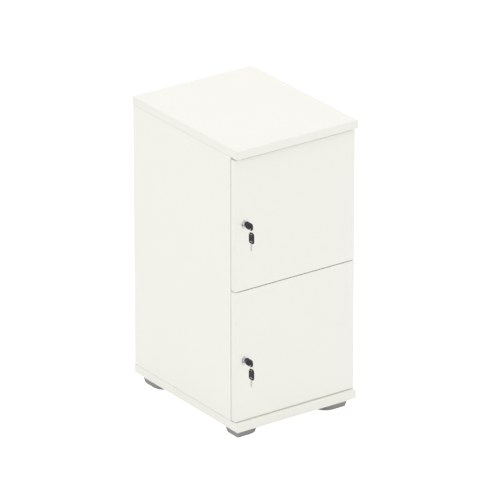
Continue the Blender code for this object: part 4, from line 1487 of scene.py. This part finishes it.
@dataclass
class CamLock:
    """A cam lock: chromed housing and plug, the plate behind the door, cam, screw and strike.

    Radii and heights are measured from the lock's axis and from the door's front face.

    Attributes:
        door: The door that it locks.
        flange: Radius and height of the flange.
        flange_air: Air between the flange and the door.
        recess: Radius and height of the recess round the plug.
        rounding: Radii of the flange's rim and of the recess's lip.
        chamfer: Width of the chamfer on the flange's back and on the barrel's end.
        recess_corner: Width of the corner strip round the recess's floor.
        counterbore: Radius and depth of the plug head's seat.
        seat_edge: Width of the broken edge round that seat.
        bore: Radius of the plug's bore.
        barrel: Radius and depth of the barrel.
        thread: Depth at which the thread starts, half its pitch and how far its ridges stand out.
        head: Radius and height of the plug's head.
        head_seat: Depth of the head's underside.
        head_rounding: Radius of the head's rim, and the degrees it turns by before the dome.
        core: Radius and depth of the plug behind its head.
        crown: How much lower the head's rim is than its middle.
        dome: How far inside the rim the dome starts, and radius of the flat in its middle.
        square: Side of the square that turns the cam, and the depth of its end.
        square_corner: Rounding of the square's edges, and how far it starts inside the plug.
        keyway: Half width, half height and depth of the keyway.
        plate_head: The heads of the plate's screws.
        plate_screw: Where the plate's screws are: in from its long end, and up or down.
        strike_head: The heads of the strike's screws.
        strike_screw: How far the strike's screws are from its ends.
        sunk: How deep the heads of the plate's and the strike's screws sit.
        cam_screw: Radius and height of the cam screw's head, radius and length of its shank.
        steps: Points round the housing and the plug.
    """

    door: str
    flange: tuple = (11.5 * MM, 2.0 * MM)
    flange_air: float = 0.3 * MM
    recess: tuple = (9.4 * MM, 0.8 * MM)
    rounding: tuple = (0.8 * MM, 0.4 * MM)
    chamfer: float = 0.3 * MM
    recess_corner: float = 0.2 * MM
    counterbore: tuple = (7.3 * MM, 1.3 * MM)
    seat_edge: float = 0.1 * MM
    bore: float = 6.3 * MM
    barrel: tuple = (9.0 * MM, 24.0 * MM)
    thread: tuple = (17.9 * MM, 0.38 * MM, 0.25 * MM)
    head: tuple = (7.0 * MM, 3.2 * MM)
    head_seat: float = 1.0 * MM
    head_rounding: tuple = (0.5 * MM, 78.0)
    core: tuple = (6.0 * MM, 24.3 * MM)
    crown: float = 0.09 * MM
    dome: tuple = (0.8 * MM, 0.6 * MM)
    square: tuple = (7.0 * MM, 26.9 * MM)
    square_corner: tuple = (0.5 * MM, 0.1 * MM)
    keyway: tuple = (1.1 * MM, 3.5 * MM, 20.0 * MM)
    plate_head: Screw = Screw(2.6 * MM, 0.9 * MM)
    plate_screw: tuple = (5.5 * MM, 8.0 * MM)
    strike_head: Screw = Screw(2.2 * MM, 0.5 * MM)
    strike_screw: float = 4.5 * MM
    sunk: tuple = (0.15 * MM, 0.1 * MM)
    cam_screw: tuple = (5.2 * MM, 2.4 * MM, 1.8 * MM, 4.0 * MM)
    steps: int = 96

    def __post_init__(self) -> None:
        """Work out the lock's axis and the place of its front."""
        middle = centre_of(self.door + "_lock_housing")
        self.axis = Vector((middle.x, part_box(self.door + "_door")[0].y, middle.z))
        self.place = Facing.FRONT.at(self.axis)

    def housing(self, finishes: Finishes) -> None:
        """Build the housing: a rounded flange, a recess round the plug and a threaded barrel.

        The flange's rim and the recess's lip are quarter circles. The thread is a zigzag of the
        barrel's radius, a ridge to each pitch.

        Args:
            finishes: The locker's materials.
        """
        (rim, out), (hollow, floor) = self.flange, self.recess
        (seat, seat_depth), (barrel, depth) = self.counterbore, self.barrel
        (round_rim, round_lip), chamfer, back = self.rounding, self.chamfer, self.flange_air
        corner, edge = self.recess_corner, self.seat_edge
        start, half_pitch, ridge = self.thread
        levels = np.arange(start, depth, half_pitch)
        radii = barrel - ridge * (np.arange(len(levels)) % 2)
        profile = np.concatenate((
            arc_profile((rim - round_rim, out - round_rim), round_rim, 0.0, 90.0, steps=9),
            arc_profile((hollow + round_lip, out - round_lip), round_lip, 90.0, 180.0),
            [(hollow, floor + corner), (hollow - corner, floor), (seat + edge, floor), (seat, floor - edge),
             (seat, -seat_depth), (self.bore, -seat_depth), (self.bore, -depth), (barrel - chamfer, -depth)],
            np.stack((radii, -levels), -1)[::-1],
            [(barrel, back), (rim - chamfer, back), (rim, back + chamfer)]))
        piece(self.door + "_lock_housing_turning", turned(profile, self.steps, around=True).moved(self.place),
              finishes.chrome, self.door + "_door", "chrome", self.door + "_lock_housing")

    def plug(self, finishes: Finishes) -> None:
        """Build the plug: a head with its keyway, and the square that turns the cam.

        The head's face is domed: its height falls with the square of the distance from its middle.

        Args:
            finishes: The locker's materials.
        """
        (radius, out), (core, depth), (side, end) = self.head, self.core, self.square
        (round_rim, turn), (dome_edge, flat) = self.head_rounding, self.dome
        reach = np.linspace(radius - dome_edge, flat, num=6)
        profile = np.concatenate((
            [(core, -depth), (core, -self.head_seat), (radius, -self.head_seat)],
            arc_profile((radius - round_rim, out - round_rim - self.crown), round_rim, 0.0, turn),
            np.stack((reach, out - self.crown * (reach / radius) ** 2), -1)))
        item = to_object(self.door + "_lock_plug_turning", turned(profile, self.steps).moved(self.place),
                         finishes.satin)
        wide, tall, deep = self.keyway
        keyway = block(Vector((-wide, -tall, -deep)), Vector((wide, tall, deep)))
        carve(item, [keyway.moved(self.place)])
        finished(item, self.door + "_lock", "chrome", self.door + "_lock_plug")
        corner, overlap = self.square_corner
        square = slab(rounded_rectangle(side, side, corner), np.array([(0.0, -end), (0.0, overlap - depth)]))
        piece(self.door + "_lock_square", square.moved(self.place), finishes.zinc, self.door + "_lock",
              "chrome")

    def plate_screws(self) -> Shape:
        """Return the two screws of the plate behind the door.

        Returns:
            Both heads as one shape.
        """
        high, (along, up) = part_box(self.door + "_lock_plate")[1], self.plate_screw
        x, y = high.x - along, high.y - self.sunk[0]
        spots = [Vector((x, y, self.axis.z + side * up)) for side in (-1, 1)]
        return self.plate_head.set_at(spots, Facing.BACK)

    def strike_screws(self) -> Shape:
        """Return the two screws of the strike plate in the side panel.

        Returns:
            Both heads as one shape.
        """
        low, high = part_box(self.door + "_strike_plate")
        x, y = high.x - self.sunk[1], (low.y + high.y) / 2
        spots = [Vector((x, y, z)) for z in (low.z + self.strike_screw, high.z - self.strike_screw)]
        return self.strike_head.set_at(spots, Facing.RIGHT)

    def turning_screw(self, finishes: Finishes) -> None:
        """Build the screw that holds the cam on the plug, its shank going into the plug.

        Args:
            finishes: The locker's materials.
        """
        node = self.door + "_cam_screw"
        radius, height, shank, length = self.cam_screw
        under = Vector((self.axis.x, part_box(node)[1].y - height, self.axis.z))
        stem = cylinder(shank, length, steps=24).moved(Matrix.Translation((0, 0, -length / 2)))
        shape = merged([Screw(radius, height).surface(), stem])
        piece(node + "_turning", shape.moved(Facing.BACK.at(under)), finishes.nickel, self.door + "_lock",
              "steel", node)

    def build(self, finishes: Finishes) -> None:
        """Build the lock's parts.

        Args:
            finishes: The locker's materials.
        """
        self.housing(finishes)
        self.plug(finishes)
        self.turning_screw(finishes)
        refined(self.door + "_lock_plate", "casting", self.door + "_door", "zinc", finishes.zinc)
        refined(self.door + "_lock_cam", "pressing", self.door + "_lock", "zinc", finishes.zinc)
        refined(self.door + "_strike_plate", "pressing", "carcass", "steel", finishes.nickel)
        for name, screws, body in (("_lock_plate_screws", self.plate_screws(), self.door + "_door"),
                                   ("_strike_screws", self.strike_screws(), "carcass")):
            piece(self.door + name, screws, finishes.nickel, body, "steel")


@dataclass
class Key:
    """A key with a moulded head. Its own X runs along it, Y across it and Z through it.

    X starts at the head's end by the blade: the head lies on its plus side, the blade on its minus.

    Attributes:
        head_node: The CAD node of its head.
        blade_node: The CAD node of its blade.
        body: The body that it rides on.
        place: Where it is.
        length: Length of the head.
        width: Width of the head.
        thickness: Thickness of the head.
        neck: Half the head's width at the blade.
        shoulder: Where the head reaches its full width.
        rounding: Radii of the head's corners: by the blade, at the shoulder and at the outer end.
        edge: Rounding of the head's edge.
        rim: Width of the raised rim on its top and at its foot.
        sink: How deep the grip lies below the rim.
        slot: Width and length of the ring slot.
        slot_from_end: Distance of the ring slot's middle from the head's outer end.
        window: Width and length of the window.
        window_at: Where the window's middle is.
        mouth: Corner radius of slot and window, as a share of their width.
        flare: How far the mouths of slot and window widen, and how deep that reaches.
        hollows: Start, end and half width of the hollows for the blade and for its bow.
        hollow_half: Half the thickness of the hollows.
        ribs: Where the first rib is, the ribs' pitch and how many there are.
        rib_size: Width, length and corner radius of a rib.
        rib_heights: Heights of a rib's foot, of its side and of its top, which is set in as much.
        blade_length: How far the blade stands out of the head.
        blade_height: Height of the blade across its cuts.
        blade_thickness: Thickness of the blade and of its bow.
        blade_root: Where the blade ends inside the head.
        section: Points round the blade's section, as shares of its half height and half
            thickness; 0.4 is the floor of a groove.
        notches: Depth of each cut, from the tip to the head.
        notch_first: Distance of the first cut from the tip.
        notch_pitch: Distance from one cut to the next.
        notch_flat: Half the width of a cut's floor.
        tip: How long the tip's slopes are.
        tip_slope: How steeply the upper edge slopes down at the tip.
        tip_half: Half the height that is left at the point.
        tip_step: Length of the first step from the point, which keeps its end crisp.
        bow: Length, width and corner radius of the bow that holds the blade in the head.
        bow_at: Where the bow's middle is.
        bow_edge: Rounding of the bow's edge.
        steps: Points round a corner of the head, up its edge's rounding and along the blade.
        sharp: Angles in degrees past which an edge of the head and of the blade stays sharp.
    """

    head_node: str
    blade_node: str
    body: str
    place: Matrix
    length: float = 27.0 * MM
    width: float = 18.0 * MM
    thickness: float = 4.0 * MM
    neck: float = 7.0 * MM
    shoulder: float = 5.0 * MM
    rounding: tuple = (2.2 * MM, 3.0 * MM, 6.5 * MM)
    edge: float = 0.9 * MM
    rim: tuple = (1.7 * MM, 2.1 * MM)
    sink: float = 0.35 * MM
    slot: tuple = (3.6 * MM, 10.0 * MM)
    slot_from_end: float = 4.2 * MM
    window: tuple = (3.0 * MM, 10.5 * MM)
    window_at: float = 4.6 * MM
    mouth: float = 0.45
    flare: float = 0.4 * MM
    hollows: tuple = ((-5.0 * MM, 2.45 * MM, 3.5 * MM), (2.3 * MM, 7.8 * MM, 6.3 * MM))
    hollow_half: float = 1.1 * MM
    ribs: tuple = (8.6 * MM, 2.0 * MM, 5)
    rib_size: tuple = (0.8 * MM, 7.5 * MM, 0.38 * MM)
    rib_heights: tuple = (-0.25 * MM, 0.12 * MM, 0.24 * MM)
    blade_length: float = 20.0 * MM
    blade_height: float = 6.4 * MM
    blade_thickness: float = 1.6 * MM
    blade_root: float = 2.9 * MM
    section: tuple = ((-1.0, 0.2), (-0.72, 1.0), (0.05, 1.0), (0.12, 0.4), (0.45, 0.4), (0.52, 1.0),
                      (0.9, 1.0), (1.0, 0.7), (1.0, -0.7), (0.9, -1.0), (0.62, -1.0), (0.55, -0.4),
                      (0.3, -0.4), (0.22, -1.0), (-0.72, -1.0), (-1.0, -0.2))
    notches: tuple = (1.1 * MM, 0.66 * MM, 1.1 * MM, 0.66 * MM)
    notch_first: float = 3.65 * MM
    notch_pitch: float = 3.1 * MM
    notch_flat: float = 0.25 * MM
    tip: float = 2.2 * MM
    tip_slope: float = 0.6
    tip_half: float = 0.1 * MM
    tip_step: float = 0.02 * MM
    bow: tuple = (4.9 * MM, 12.0 * MM, 0.8 * MM)
    bow_at: float = 5.05 * MM
    bow_edge: float = 0.2 * MM
    steps: tuple = (10, 5, 90)
    sharp: tuple = (38.0, 28.0)

    def head_outline(self) -> Array:
        """Return the head's outline: narrow at the blade, full in the middle, round at the end.

        Returns:
            Outline points as (point, xy).
        """
        half, corners = self.width / 2, np.array(self.rounding)
        side = np.array([(0, self.neck), (self.shoulder, half), (self.length, half)])
        outline = np.concatenate((side * (1, -1), side[::-1]))
        return filleted(outline, np.concatenate((corners, corners[::-1])), self.steps[0])

    def opening(self, x: float, size: tuple) -> Shape:
        """Return the solid that cuts an oblong opening through the head, its two mouths flared.

        Args:
            x: Where its middle is along the key.
            size: Its width along the key and its length across it.

        Returns:
            A solid that stands 1 mm out of the head on both sides.
        """
        half = self.thickness / 2
        flare = np.array([(-self.flare, -half - MM), (-self.flare, -half), (0.0, self.flare - half)])
        profile = np.concatenate((flare, flare[::-1] * (1, -1)))
        outline = rounded_rectangle(*size, size[0] * self.mouth, steps=8)
        return slab(outline, profile).moved(Matrix.Translation((x, 0, 0)))

    def hollow(self, start: float, end: float, half_width: float) -> Shape:
        """Return the block that cuts one hollow for the blade."""
        return block(Vector((start, -half_width, -self.hollow_half)),
                     Vector((end, half_width, self.hollow_half)))

    def grip_ribs(self) -> Shape:
        """Return the ribs on both faces of the grip, each a low bar across the key.

        Returns:
            All ribs as one shape.
        """
        width, length, corner = self.rib_size
        foot, side, top = self.rib_heights
        bar = rounded_rectangle(width, length, corner, steps=5)
        raised = np.array([(0.0, foot), (0.0, side), (side, top)])
        first, pitch, count = self.ribs
        ribs = []
        for row in range(count):
            for face in (1, -1):
                turn = Matrix.Identity(4) if face > 0 else Matrix.Rotation(math.pi, 4, "Y")
                spot = Matrix.Translation((first + row * pitch, 0, face * (self.thickness / 2 - self.sink)))
                ribs.append(slab(bar, raised).moved(spot @ turn))
        return merged(ribs)

    def head(self, finishes: Finishes) -> None:
        """Build the head: a rounded plate with a raised rim, a sunk grip with ribs and a slot.

        Args:
            finishes: The locker's materials.
        """
        half = self.thickness / 2
        rim_top, rim_foot = self.rim
        face = np.array([(rim_foot, self.sink), (rim_top, 0.0)])
        edge = rounded_edge(self.thickness, self.edge, self.steps[1])
        profile = np.concatenate((face - (0, half), edge, face[::-1] * (1, -1) + (0, half)))
        sharp = self.sharp[0]
        item = to_object(self.head_node + "_moulding", slab(self.head_outline(), profile),
                         finishes.key_head, sharp)
        carve(item, [self.hollow(*hollow) for hollow in self.hollows], None, sharp)
        carve(item, [self.opening(self.length - self.slot_from_end, self.slot),
                     self.opening(self.window_at, self.window)], None, sharp)
        item.data.transform(self.place)
        finished(item, self.body, "black_plastic", self.head_node)
        piece(self.head_node + "_grip", self.grip_ribs().moved(self.place), finishes.key_head, self.body,
              "black_plastic")

    def cuts_at(self, x: Array) -> Array:
        """Return how deep the blade is cut at each distance along it.

        V-shaped cuts alternate between two depths; their sides are at 45 degrees. Towards the
        tip the edge rises to a point.

        Args:
            x: Distances along the key.

        Returns:
            The depth of the cut at each of them.
        """
        start, half = -self.blade_length, self.blade_height / 2
        depths = np.array(self.notches)
        centres = start + self.notch_first + np.arange(len(depths)) * self.notch_pitch
        sides = np.maximum(np.abs(x[:, None] - centres) - self.notch_flat, 0.0)
        notch = np.maximum(depths - sides, 0.0).max(1)
        tip = np.maximum(start + self.tip - x, 0.0) * half / self.tip
        return np.maximum(notch, np.minimum(tip, half - self.tip_half))

    def blade_surface(self) -> Shape:
        """Return the blade's surface: its section carried along its length.

        At each place the section is scaled to the blade's thickness and to the height that its
        cut lower edge and its upper edge, which slopes down at the tip, leave.

        Returns:
            The blade's closed surface.
        """
        start = -self.blade_length
        x = np.linspace(start, self.blade_root, self.steps[2])
        x = np.unique(np.concatenate((x, (start + self.tip_step, start + self.tip))))
        across, through = np.array(self.section).T
        low = -self.blade_height / 2 + self.cuts_at(x)
        high = self.blade_height / 2 - np.maximum(start + self.tip - x, 0.0) * self.tip_slope
        y = low[:, None] + (high - low)[:, None] * (across + 1) / 2
        z = np.broadcast_to(through * self.blade_thickness / 2, y.shape)
        return loft(np.stack((np.broadcast_to(x[:, None], y.shape), y, z), -1))

    def blade(self, finishes: Finishes) -> None:
        """Build the blade, with the plain flat bow that holds it in the head.

        Args:
            finishes: The locker's materials.
        """
        bow = slab(rounded_rectangle(*self.bow), rounded_edge(self.blade_thickness, self.bow_edge, steps=2))
        bow = bow.moved(Matrix.Translation((self.bow_at, 0, 0)))
        shape = merged([self.blade_surface(), bow]).moved(self.place)
        piece(self.blade_node + "_milled", shape, finishes.blade, self.body, "steel", self.blade_node,
              sharp=self.sharp[1])

    def build(self, finishes: Finishes) -> None:
        """Build the key's head and blade."""
        self.head(finishes)
        self.blade(finishes)


@dataclass
class SplitRing:
    """A key ring of flattened wire, wound nearly two turns.

    Attributes:
        door: The door whose keys hang on it.
        radius: Radius of the wire's middle.
        width: Half the wire's width across the ring.
        layer: Half the thickness of one layer of it.
        fill: Share of a layer that the wire fills, which keeps its turns apart.
        turns: How many turns it has.
        start: Where its first end is, in radians round the ring.
        crossing: Where in a turn the wire starts to cross to the next layer, and over how much of it.
        flatness: Power that flattens the section's sides; 1 would leave an ellipse.
        taper: An end's share of the full section, and over how many steps it grows to the whole.
        steps: Points along the wire and round it.
        sharp: Angle in degrees past which an edge stays sharp.
    """

    door: str
    radius: float = 7.0 * MM
    width: float = 0.6 * MM
    layer: float = 0.31 * MM
    fill: float = 0.94
    turns: float = 1.94
    start: float = 0.35
    crossing: tuple = (0.82, 0.14)
    flatness: float = 0.5
    taper: tuple = (0.4, 5)
    steps: tuple = (260, 16)
    sharp: float = 60.0

    def surface(self, middle: Vector) -> Shape:
        """Return the wound wire.

        The wire's middle is a circle whose place along the ring's axis shifts by one layer in a
        short stretch of each turn, as the smooth step 3t^2 - 2t^3. Its section is a
        superellipse: width cos^0.5 radially and layer sin^0.5 along the axis. Both ends taper.

        Args:
            middle: The ring's middle.

        Returns:
            The wire's closed surface.
        """
        along, around = self.steps
        cross_start, cross_length = self.crossing
        least, growth = self.taper
        angle = np.linspace(0.0, TURN * self.turns, along) + self.start
        travel = (angle - angle[0]) / TURN
        step = np.clip((travel % 1.0 - cross_start) / cross_length, 0.0, 1.0)
        shift = (np.floor(travel) + step * step * (3 - 2 * step) - 0.5) * 2 * self.layer
        across = np.linspace(0.0, TURN, around, endpoint=False)
        square, flat = (np.sign(wave) * np.abs(wave) ** self.flatness
                        for wave in (np.cos(across), np.sin(across)))
        ends = np.minimum(np.arange(along), np.arange(along)[::-1])
        taper = np.clip(least + ends / growth, 0.0, 1.0)[:, None, None]
        radial = np.stack((np.cos(angle), np.zeros_like(angle), np.sin(angle)), -1)
        centre = radial * self.radius + shift[:, None] * (0, 1, 0)
        section = self.width * square[:, None] * radial[:, None]
        section = section + self.layer * self.fill * flat[:, None] * (0, 1, 0)
        return loft(centre[:, None] + taper * section + np.array(middle))

    def build(self, finishes: Finishes) -> None:
        """Build the ring.

        Args:
            finishes: The locker's materials.
        """
        node = self.door + "_key_ring"
        piece(node + "_winding", self.surface(centre_of(node)), finishes.chrome, self.door + "_ring",
              "steel", node, sharp=self.sharp)


@dataclass
class KeySet:
    """The key in a lock, its ring and the spare key hanging from it.

    Attributes:
        door: The door whose lock they belong to.
    """

    door: str

    def key(self, label: str, neck: Vector, x_axis: tuple, y_axis: tuple) -> Key:
        """Return a key, placed by the middle of its head's end at the blade and by its two axes."""
        name = f"{self.door}_{label}"
        return Key(name + "_head", name + "_blade", name, place_on(neck, x_axis, y_axis))

    def build(self, finishes: Finishes) -> None:
        """Build both keys and the ring.

        The key in the lock lies along the lock's axis and the spare one hangs with its blade down.

        Args:
            finishes: The locker's materials.
        """
        neck = centre_of(self.door + "_key_head")
        neck.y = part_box(self.door + "_key_head")[1].y
        self.key("key", neck, (0, -1, 0), (0, 0, 1)).build(finishes)
        neck = centre_of(self.door + "_spare_key_head")
        neck.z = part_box(self.door + "_spare_key_head")[0].z
        self.key("spare_key", neck, (0, 0, 1), (0, 1, 0)).build(finishes)
        SplitRing(self.door).build(finishes)


@dataclass(frozen=True)
class Lamp:
    """A broad, even light from far away.

    Attributes:
        name: Its name.
        strength: How bright it is.
        direction: Where it shines from.
        spread: How wide it looks in the sky, in degrees.
        colour: Its colour.
    """

    name: str
    strength: float
    direction: tuple
    spread: float
    colour: tuple = (1.0, 1.0, 1.0)

    def build(self) -> None:
        """Add the light."""
        data = bpy.data.lights.new(self.name, "SUN")
        data.energy = self.strength
        data.color = self.colour
        data.angle = math.radians(self.spread)
        item = in_scene(self.name, data)
        item.rotation_euler = Vector(self.direction).to_track_quat("Z", "Y").to_euler()


@dataclass
class Studio:
    """A pale floor, soft light from all round, and the photograph's camera.

    Attributes:
        target: The point on the camera's axis nearest the locker's middle.
        distance: Distance from the camera to that point.
        azimuth: How far the camera stands round to the left, in degrees.
        elevation: How high it looks down from, in degrees.
        lens: Its focal length, in millimetres.
        sensor: Width of its sensor, in millimetres.
        sight: How far it sees.
        floor_size: Side, thickness and corner radius of the floor.
        floor_grey: How light the floor's own colour is.
        floor_roughness: How rough the floor is.
        floor_glow: How much the floor glows for what stands on it.
        floor_seen: How much it glows for the camera.
        ambient: Strength of the even light from all round.
        sky_heights: Between which heights of the sky a reflection goes from dark to light.
        sky_levels: How light the sky is in a reflection, below and above them.
        lamps: The lights that give the faces their different shades.
    """

    target: tuple = (0.0065, 0.00015, 0.3831)
    distance: float = 14.539
    azimuth: float = -35.234
    elevation: float = 23.174
    lens: float = 436.7
    sensor: float = 36.0
    sight: float = 200.0
    floor_size: tuple = (60.0, 0.02, 5.0)
    floor_grey: float = 0.85
    floor_roughness: float = 0.9
    floor_glow: float = 0.04
    floor_seen: float = 0.84
    ambient: float = 0.965
    sky_heights: tuple = (-0.05, 0.35)
    sky_levels: tuple = (0.45, 1.0)
    lamps: tuple = (Lamp("overhead_light", 0.27, (-0.20, -0.25, 1.0), 60.0, (1.01, 0.98, 1.14)),
                    Lamp("left_light", 0.10, (-1.0, -0.30, 0.45), 50.0))

    def camera(self) -> None:
        """Add the camera and make it the scene's."""
        turn, lift = math.radians(self.azimuth), math.radians(self.elevation)
        back = Vector((math.sin(turn) * math.cos(lift), -math.cos(turn) * math.cos(lift), math.sin(lift)))
        data = bpy.data.cameras.new("photo_camera")
        data.lens = self.lens
        data.sensor_width = self.sensor
        data.clip_end = self.sight
        item = in_scene("photo_camera", data)
        item.location = Vector(self.target) + back * self.distance
        item.rotation_euler = back.to_track_quat("Z", "Y").to_euler()
        bpy.context.scene.camera = item

    def floor(self) -> None:
        """Add the pale floor.

        It glows like an overlit paper sweep: the camera sees it nearly white even in the
        locker's shadow, and everything else receives a softer glow from it.
        """
        side, thickness, corner = self.floor_size
        outline = rounded_rectangle(side, side, corner, steps=4)
        shape = slab(outline, np.array([(0.0, -thickness), (0.0, 0.0)]))
        material = bpy.data.materials.new("paper_floor")
        material.use_nodes = True
        graph = Graph(material.node_tree)
        seen = graph.add("ShaderNodeLightPath").outputs["Is Camera Ray"]
        glow = graph.span(seen, 0.0, 1.0, self.floor_glow, self.floor_seen)
        graph.fill_inputs(graph.tree.nodes["Principled BSDF"], {
            "Base Color": opaque(self.floor_grey), "Roughness": self.floor_roughness,
            "Emission Color": opaque(1.0), "Emission Strength": glow})
        to_object("paper_floor", shape, material)

    def surroundings(self) -> None:
        """Light the scene evenly from all round.

        A reflection sees a sky that is darker near the horizon and light above, and the camera
        sees plain white.
        """
        world = bpy.data.worlds.new("studio")
        world.use_nodes = True
        bpy.context.scene.world = world
        graph = Graph(world.node_tree)
        height = graph.add("ShaderNodeSeparateXYZ", {0: graph.add("ShaderNodeTexCoord").outputs["Generated"]})
        sky = graph.grey(graph.span(height.outputs["Z"], *self.sky_heights, *self.sky_levels))
        ray = graph.add("ShaderNodeLightPath")
        level = graph.blend(ray.outputs["Is Glossy Ray"], opaque(self.ambient), sky)
        colour = graph.blend(ray.outputs["Is Camera Ray"], level, opaque(1.0))
        graph.fill_inputs(graph.tree.nodes["Background"], {"Color": colour, "Strength": 1.0})

    def lift_shadows(self) -> None:
        """Let the light pass the keys and rings, whose shade the photograph's studio filled."""
        for item in bpy.data.objects:
            if "_key_" in item.name or "_ring" in item.name:
                item.visible_shadow = False
                item.visible_diffuse = False

    def build(self) -> None:
        """Set the stage."""
        self.camera()
        self.floor()
        self.surroundings()
        for lamp in self.lamps:
            lamp.build()
        bpy.context.scene.view_settings.view_transform = "Standard"


def main() -> None:
    """Build the locker's looks and the studio round it."""
    logging.basicConfig(level=logging.INFO, format="%(name)s: %(message)s")
    finishes = Finishes()
    studio = Studio()
    studio.build()
    Carcass().build(finishes)
    for door in DOORS:
        Door(door).build(finishes)
        for label in ENDS:
            CupHinge(door, label).build(finishes)
        CamLock(door).build(finishes)
        KeySet(door).build(finishes)
    studio.lift_shadows()


if __name__ == "__main__":
    main()
